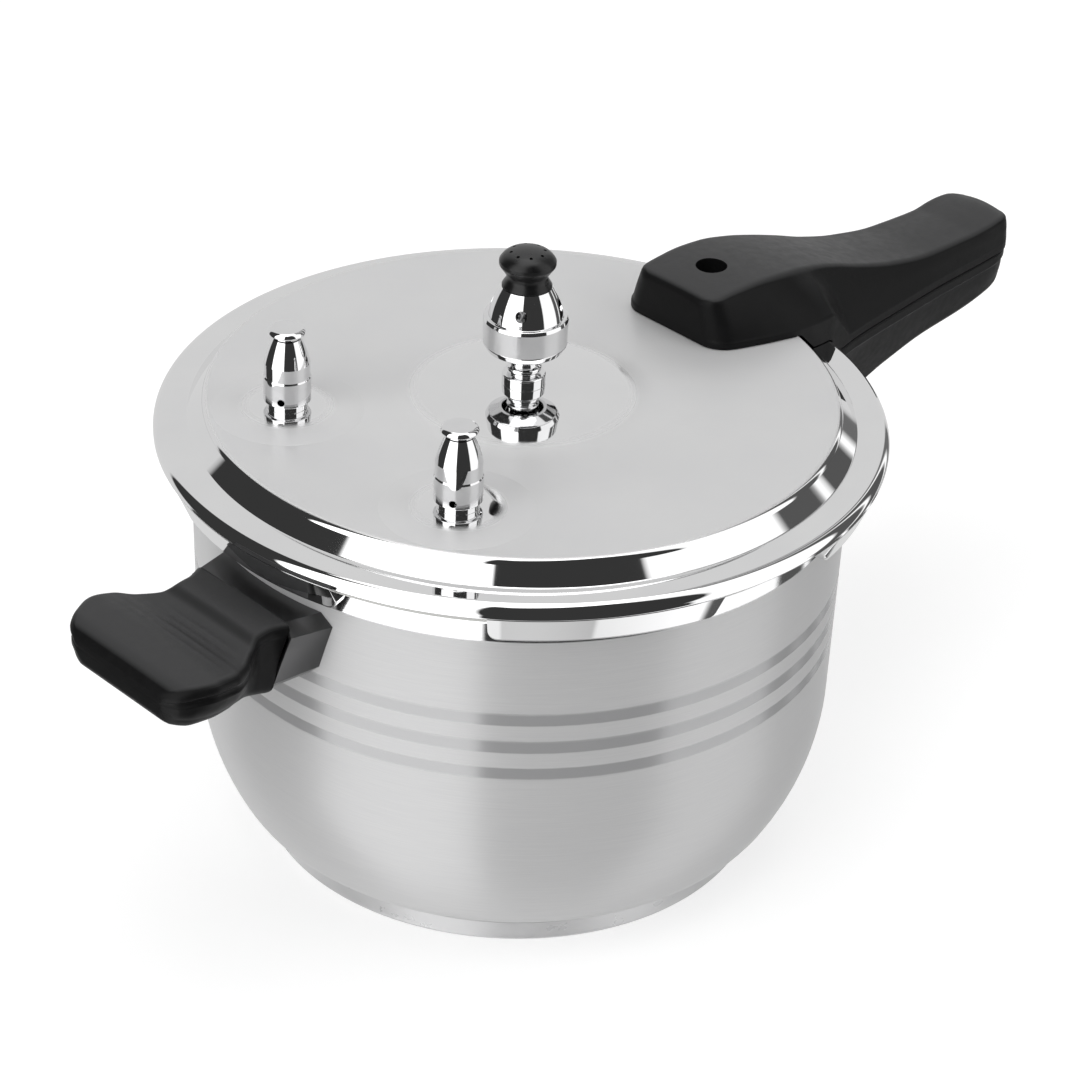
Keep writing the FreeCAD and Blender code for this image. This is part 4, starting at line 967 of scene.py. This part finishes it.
def claws():
    """Six hooks under the bead, their lower corners rounded."""
    segments = outline_segments(CLAW_OUTLINE)
    points, faces, normals = [], [], []
    size = len(segments)
    corner_angle = math.degrees(CLAW_CORNER / CLAW_CORNER_RADIUS)
    stations = []
    for k in range(CLAW_CORNER_STEPS + 1):
        turn = 0.5 * math.pi * k / CLAW_CORNER_STEPS
        inward = corner_angle * (1 - math.cos(turn))
        stations.append((-CLAW_HALF + inward, CLAW_CORNER * (1 - math.sin(turn))))
    middle = [(-CLAW_HALF + corner_angle + (2 * CLAW_HALF - 2 * corner_angle) * k / CLAW_STEPS, 0.0)
              for k in range(1, CLAW_STEPS)]
    stations = stations + middle + [(-angle, lift) for angle, lift in reversed(stations)]
    pitch = 360.0 / CLAWS
    for claw in range(CLAWS):
        base = len(points)
        for degrees, lift in stations:
            angle = math.radians(degrees + claw * pitch)
            scale = (CLAW_HEAD - CLAW_FOOT - lift) / (CLAW_HEAD - CLAW_FOOT)
            for start, _, _, _ in segments:
                z = CLAW_HEAD - (CLAW_HEAD - start.y) * scale
                points.append((start.x * math.cos(angle), start.x * math.sin(angle), z))
        for s in range(len(stations) - 1):
            for k in range(size):
                m = (k + 1) % size
                a, b = base + s * size, base + (s + 1) * size
                faces.append((a + k, b + k, b + m, a + m))
                for station, tangent in ((s, 2), (s + 1, 2), (s + 1, 3), (s, 3)):
                    angle = math.radians(stations[station][0] + claw * pitch)
                    along = segments[k][tangent]
                    normals.append((along.y * math.cos(angle), along.y * math.sin(angle), -along.x))
        for station, step in ((0, -1), (len(stations) - 1, 1)):
            ring = [base + station * size + k for k in range(size)]
            faces.append(tuple(ring if step < 0 else reversed(ring)))
            angle = math.radians(stations[station][0] + claw * pitch)
            normals.extend([(-math.sin(angle) * step, math.cos(angle) * step, 0.0)] * size)
    mesh = bpy.data.meshes.new("claws")
    mesh.from_pydata([tuple(c * MM for c in p) for p in points], [], faces)
    mesh.shade_smooth()
    mesh.normals_split_custom_set(normals)
    return mesh


def vent():
    """Vent pipe: hexagonal foot shown round, ringed neck and the tip that the weight sits on."""
    z = LID_TOP
    mesh = turned((
        (1.5, z - 12.0), (5.0, z - 12.0, 0.4), (5.0, z + BOSS_RISE),
        (7.3, z + BOSS_RISE, 0.2), (7.3, z + 7.9, 0.7), (4.7, z + 7.9, 0.3),
        (4.7, z + 8.5, 0.2), (5.8, z + 9.2, 0.7), (5.8, z + 10.4, 0.7), (4.7, z + 11.2, 0.3),
        (4.7, z + 12.3, 0.3), (5.8, z + 13.0, 0.7), (5.8, z + 14.3, 0.7), (4.7, z + 15.1, 0.3),
        (4.7, z + 17.0, 0.6), (3.4, z + 18.4, 0.6), (3.4, z + 22.4, 0.5), (1.5, z + 22.4, 0.2),
    ), 96)
    place_piece("turned_vent_pipe", mesh, chrome, "lid", ("vent_pipe",))


def weight():
    """Regulator weight: chromed bell with four steam holes, and its black cap with a ring of dimples."""
    z = LID_TOP
    turn = math.radians(38.0)
    holes = [sideways(turn + k * math.pi / 2, z + 33.7, 1.9, (0.5, 16.0)) for k in range(4)]
    bell = turned((
        (7.6, z + 15.1, 0.3), (8.8, z + 15.1, 0.6), (12.9, z + 17.2, 1.6), (14.1, z + 19.5, 1.6),
        (14.1, z + 28.0, 0.35), (13.7, z + 29.3, 0.5), (12.5, z + 29.3, 0.25),
        (8.5, z + 39.9, 0.0, 34.0), (0.0, z + 39.9), (0.0, z + 27.0), (7.6, z + 27.0, 0.6),
    ), 128, holes)
    place_piece("chromed_bell", bell, chrome, "weight", ("weight_bell",))
    dimples = []
    for k in range(8):
        angle = 2 * math.pi * k / 8 + 0.2
        dimples.append(upright(5.6 * math.cos(angle), 5.6 * math.sin(angle), 0.55, z + 51.6, z + 56.0, 20))
    cap = turned((
        (0.0, z + 39.95), (8.5, z + 39.95, 0.25), (6.4, z + 43.3, 2.4), (9.4, z + 47.6, 1.3),
        (9.4, z + 49.0, 0.6), (5.6, z + 52.2, 0.0, 6.5), (0.0, z + 53.0, 0.0, 20.0),
    ), 128, dimples)
    place_piece("moulded_weight_cap", cap, plastic_cap, "weight", ("weight_cap",))


def valves():
    """Both safety valves: seat and housing as one turned piece, and the stem with its disc head."""
    z = VALVE_TOP
    for letter in "ab":
        at = valve_place(letter)
        housing = turned((
            (5.0, z - 12.0, 0.3), (HOLE - 0.1, z), (6.8, z, 0.2), (6.8, z + 2.3, 0.3), (7.9, z + 2.5, 0.4),
            (7.9, z + 11.0, 0.3), (7.6, z + 11.5, 0.3), (7.6, z + 16.2, 0.0), (4.6, z + 25.0, 0.0, 45.0),
            (1.8, z + 25.0, 0.1), (1.8, z + 20.0), (6.6, z + 20.0, 0.5), (6.6, z + 2.4), (2.2, z + 2.4),
            (2.2, z - 12.0, 0.3),
        ), 112, [sideways(math.radians(-145.0), z + 4.6, 1.25, (3.0, 12.0))])
        place_piece(f"turned_valve_{letter}", housing, chrome, "lid",
                    (f"safety_valve_{letter}_housing", f"safety_valve_{letter}_seat"), at)
        stem = turned((
            (0.0, z + 2.6), (4.0, z + 2.6, 0.3), (4.0, z + 4.6, 0.3), (1.5, z + 4.6), (1.5, z + 25.4),
            (4.7, z + 25.4, 0.4), (6.1, z + 26.8, 0.7), (6.1, z + 27.1, 0.0), (4.9, z + 28.5, 0.0, 2.0),
            (0.0, z + 28.9, 0.0, 30.0),
        ), 96)
        place_piece(f"turned_valve_head_{letter}", stem, chrome, f"valve_stem_{letter}",
                    (f"safety_valve_{letter}_stem",), at)


def springs():
    """The valves' springs, copied from the CAD with meshes of their own and riding on the lid."""
    for letter in "ab":
        node = f"safety_valve_{letter}_spring"
        wire = frame["nodes"][node].data.copy()
        coil = place_piece(f"coil_spring_{letter}", wire, steel_plain, "lid", (node,))
        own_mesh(coil)


lid()
vent()
weight()
valves()
springs()


# ---------------------------------------------------------------- camera, light and floor

def frame_camera():
    """Camera at the photo's viewing angle, fitted to the circles of the lid and the base."""
    place = Vector(CAMERA_PLACE)
    back = (place - Vector(CAMERA_AIM)).normalized()
    right = Vector((0.0, 0.0, 1.0)).cross(back).normalized()
    up = back.cross(right)
    across = right * math.cos(CAMERA_ROLL) + up * math.sin(CAMERA_ROLL)
    along = up * math.cos(CAMERA_ROLL) - right * math.sin(CAMERA_ROLL)
    data = bpy.data.cameras.new("photo_camera")
    data.lens = CAMERA_LENS
    data.sensor_width = SENSOR
    camera = bpy.data.objects.new("photo_camera", data)
    bpy.context.scene.collection.objects.link(camera)
    camera.matrix_world = Matrix((
        (across.x, along.x, back.x, place.x),
        (across.y, along.y, back.y, place.y),
        (across.z, along.z, back.z, place.z),
        (0.0, 0.0, 0.0, 1.0),
    ))
    bpy.context.scene.camera = camera


# Where the studio's panels change, in degrees to the right of the camera, and the brightness from there on.
PANELS = (
    (-122.0, 0.02),
    (-72.0, 1.0),
    (-11.0, 0.02),
    (56.0, 0.62),
    (104.0, 0.05),
    (120.0, 0.6),
    (124.0, 0.05),
    (138.0, 0.6),
    (142.0, 0.08),
    (150.0, 0.36),
)


def studio():
    """White backdrop to the camera; soft panels by direction to everything that reflects."""
    world = bpy.data.worlds.new("studio")
    bpy.context.scene.world = world
    world.use_nodes = True
    n = Nodes(world.node_tree)
    out = n.add("ShaderNodeOutputWorld")
    split = n.add("ShaderNodeSeparateXYZ")
    n.link(n.add("ShaderNodeTexCoord").outputs["Generated"], split.inputs[0])
    turn = n.math("ARCTAN2", split.outputs["Y"], split.outputs["X"])
    turn = n.math("SUBTRACT", turn, CAMERA_AZIMUTH)
    turn = n.math("DIVIDE", turn, 2.0 * math.pi)
    turn = n.math("FRACT", n.math("ADD", turn, 2.5))
    soft = 1.0 / 360.0
    stops = [(0.0, 0.36)]
    level = 0.36
    for degrees, value in PANELS:
        middle = (degrees + 180.0) / 360.0
        stops.append((middle - soft, level))
        stops.append((middle + soft, value))
        level = value
    panels = n.ramp(turn, stops)
    ceiling = n.ramp(split.outputs["Z"], ((0.93, 0.0), (0.98, 1.0)))
    under = n.ramp(n.math("MULTIPLY", split.outputs["Z"], -1.0), ((0.90, 0.0), (0.99, 1.0)))
    mixed = n.add("ShaderNodeMix", data_type="RGBA")
    n.link(ceiling, mixed.inputs["Factor"])
    n.link(panels, mixed.inputs["A"])
    mixed.inputs["B"].default_value = (0.42, 0.42, 0.42, 1.0)
    grounded = n.add("ShaderNodeMix", data_type="RGBA")
    n.link(under, grounded.inputs["Factor"])
    n.link(mixed.outputs["Result"], grounded.inputs["A"])
    grounded.inputs["B"].default_value = (0.40, 0.40, 0.40, 1.0)
    lit = n.add("ShaderNodeBackground")
    n.link(grounded.outputs["Result"], lit.inputs["Color"])
    lit.inputs["Strength"].default_value = 2.0
    plain = n.add("ShaderNodeBackground")
    plain.inputs["Color"].default_value = (1.0, 1.0, 1.0, 1.0)
    plain.inputs["Strength"].default_value = 1.0
    path = n.add("ShaderNodeLightPath")
    choose = n.add("ShaderNodeMixShader")
    n.link(path.outputs["Is Camera Ray"], choose.inputs[0])
    n.link(lit.outputs[0], choose.inputs[1])
    n.link(plain.outputs[0], choose.inputs[2])
    n.link(choose.outputs[0], out.inputs[0])


def floor():
    """Plain pale floor, a little brighter than its own light so that it reads as a white sweep."""
    half = 3.0
    mesh = bpy.data.meshes.new("studio_floor")
    mesh.from_pydata([(-half, -half, 0.0), (half, -half, 0.0), (half, half, 0.0), (-half, half, 0.0)], [],
                     [(0, 1, 2, 3)])
    obj = bpy.data.objects.new("studio_floor", mesh)
    bpy.context.scene.collection.objects.link(obj)
    material, n, shader = new_material("pale_floor")
    noise = n.add("ShaderNodeTexNoise")
    noise.inputs["Scale"].default_value = 3.0
    n.link(n.ramp(noise.outputs["Fac"], ((0.3, 0.50), (0.7, 0.52))), shader.inputs["Base Color"])
    shader.inputs["Roughness"].default_value = 0.9
    shader.inputs["Emission Color"].default_value = (1.0, 1.0, 1.0, 1.0)
    shader.inputs["Emission Strength"].default_value = 0.62
    mesh.materials.append(material)
    obj.visible_glossy = False


def overhead():
    """One soft square lamp over the object."""
    data = bpy.data.lights.new("overhead", "AREA")
    data.shape = "RECTANGLE"
    data.size = 1.2
    data.size_y = 1.2
    data.energy = 6.0
    obj = bpy.data.objects.new("overhead", data)
    bpy.context.scene.collection.objects.link(obj)
    obj.location = (0.0, 0.0, 1.6)


frame_camera()
studio()
floor()
overhead()
bpy.context.scene.view_settings.view_transform = "Standard"
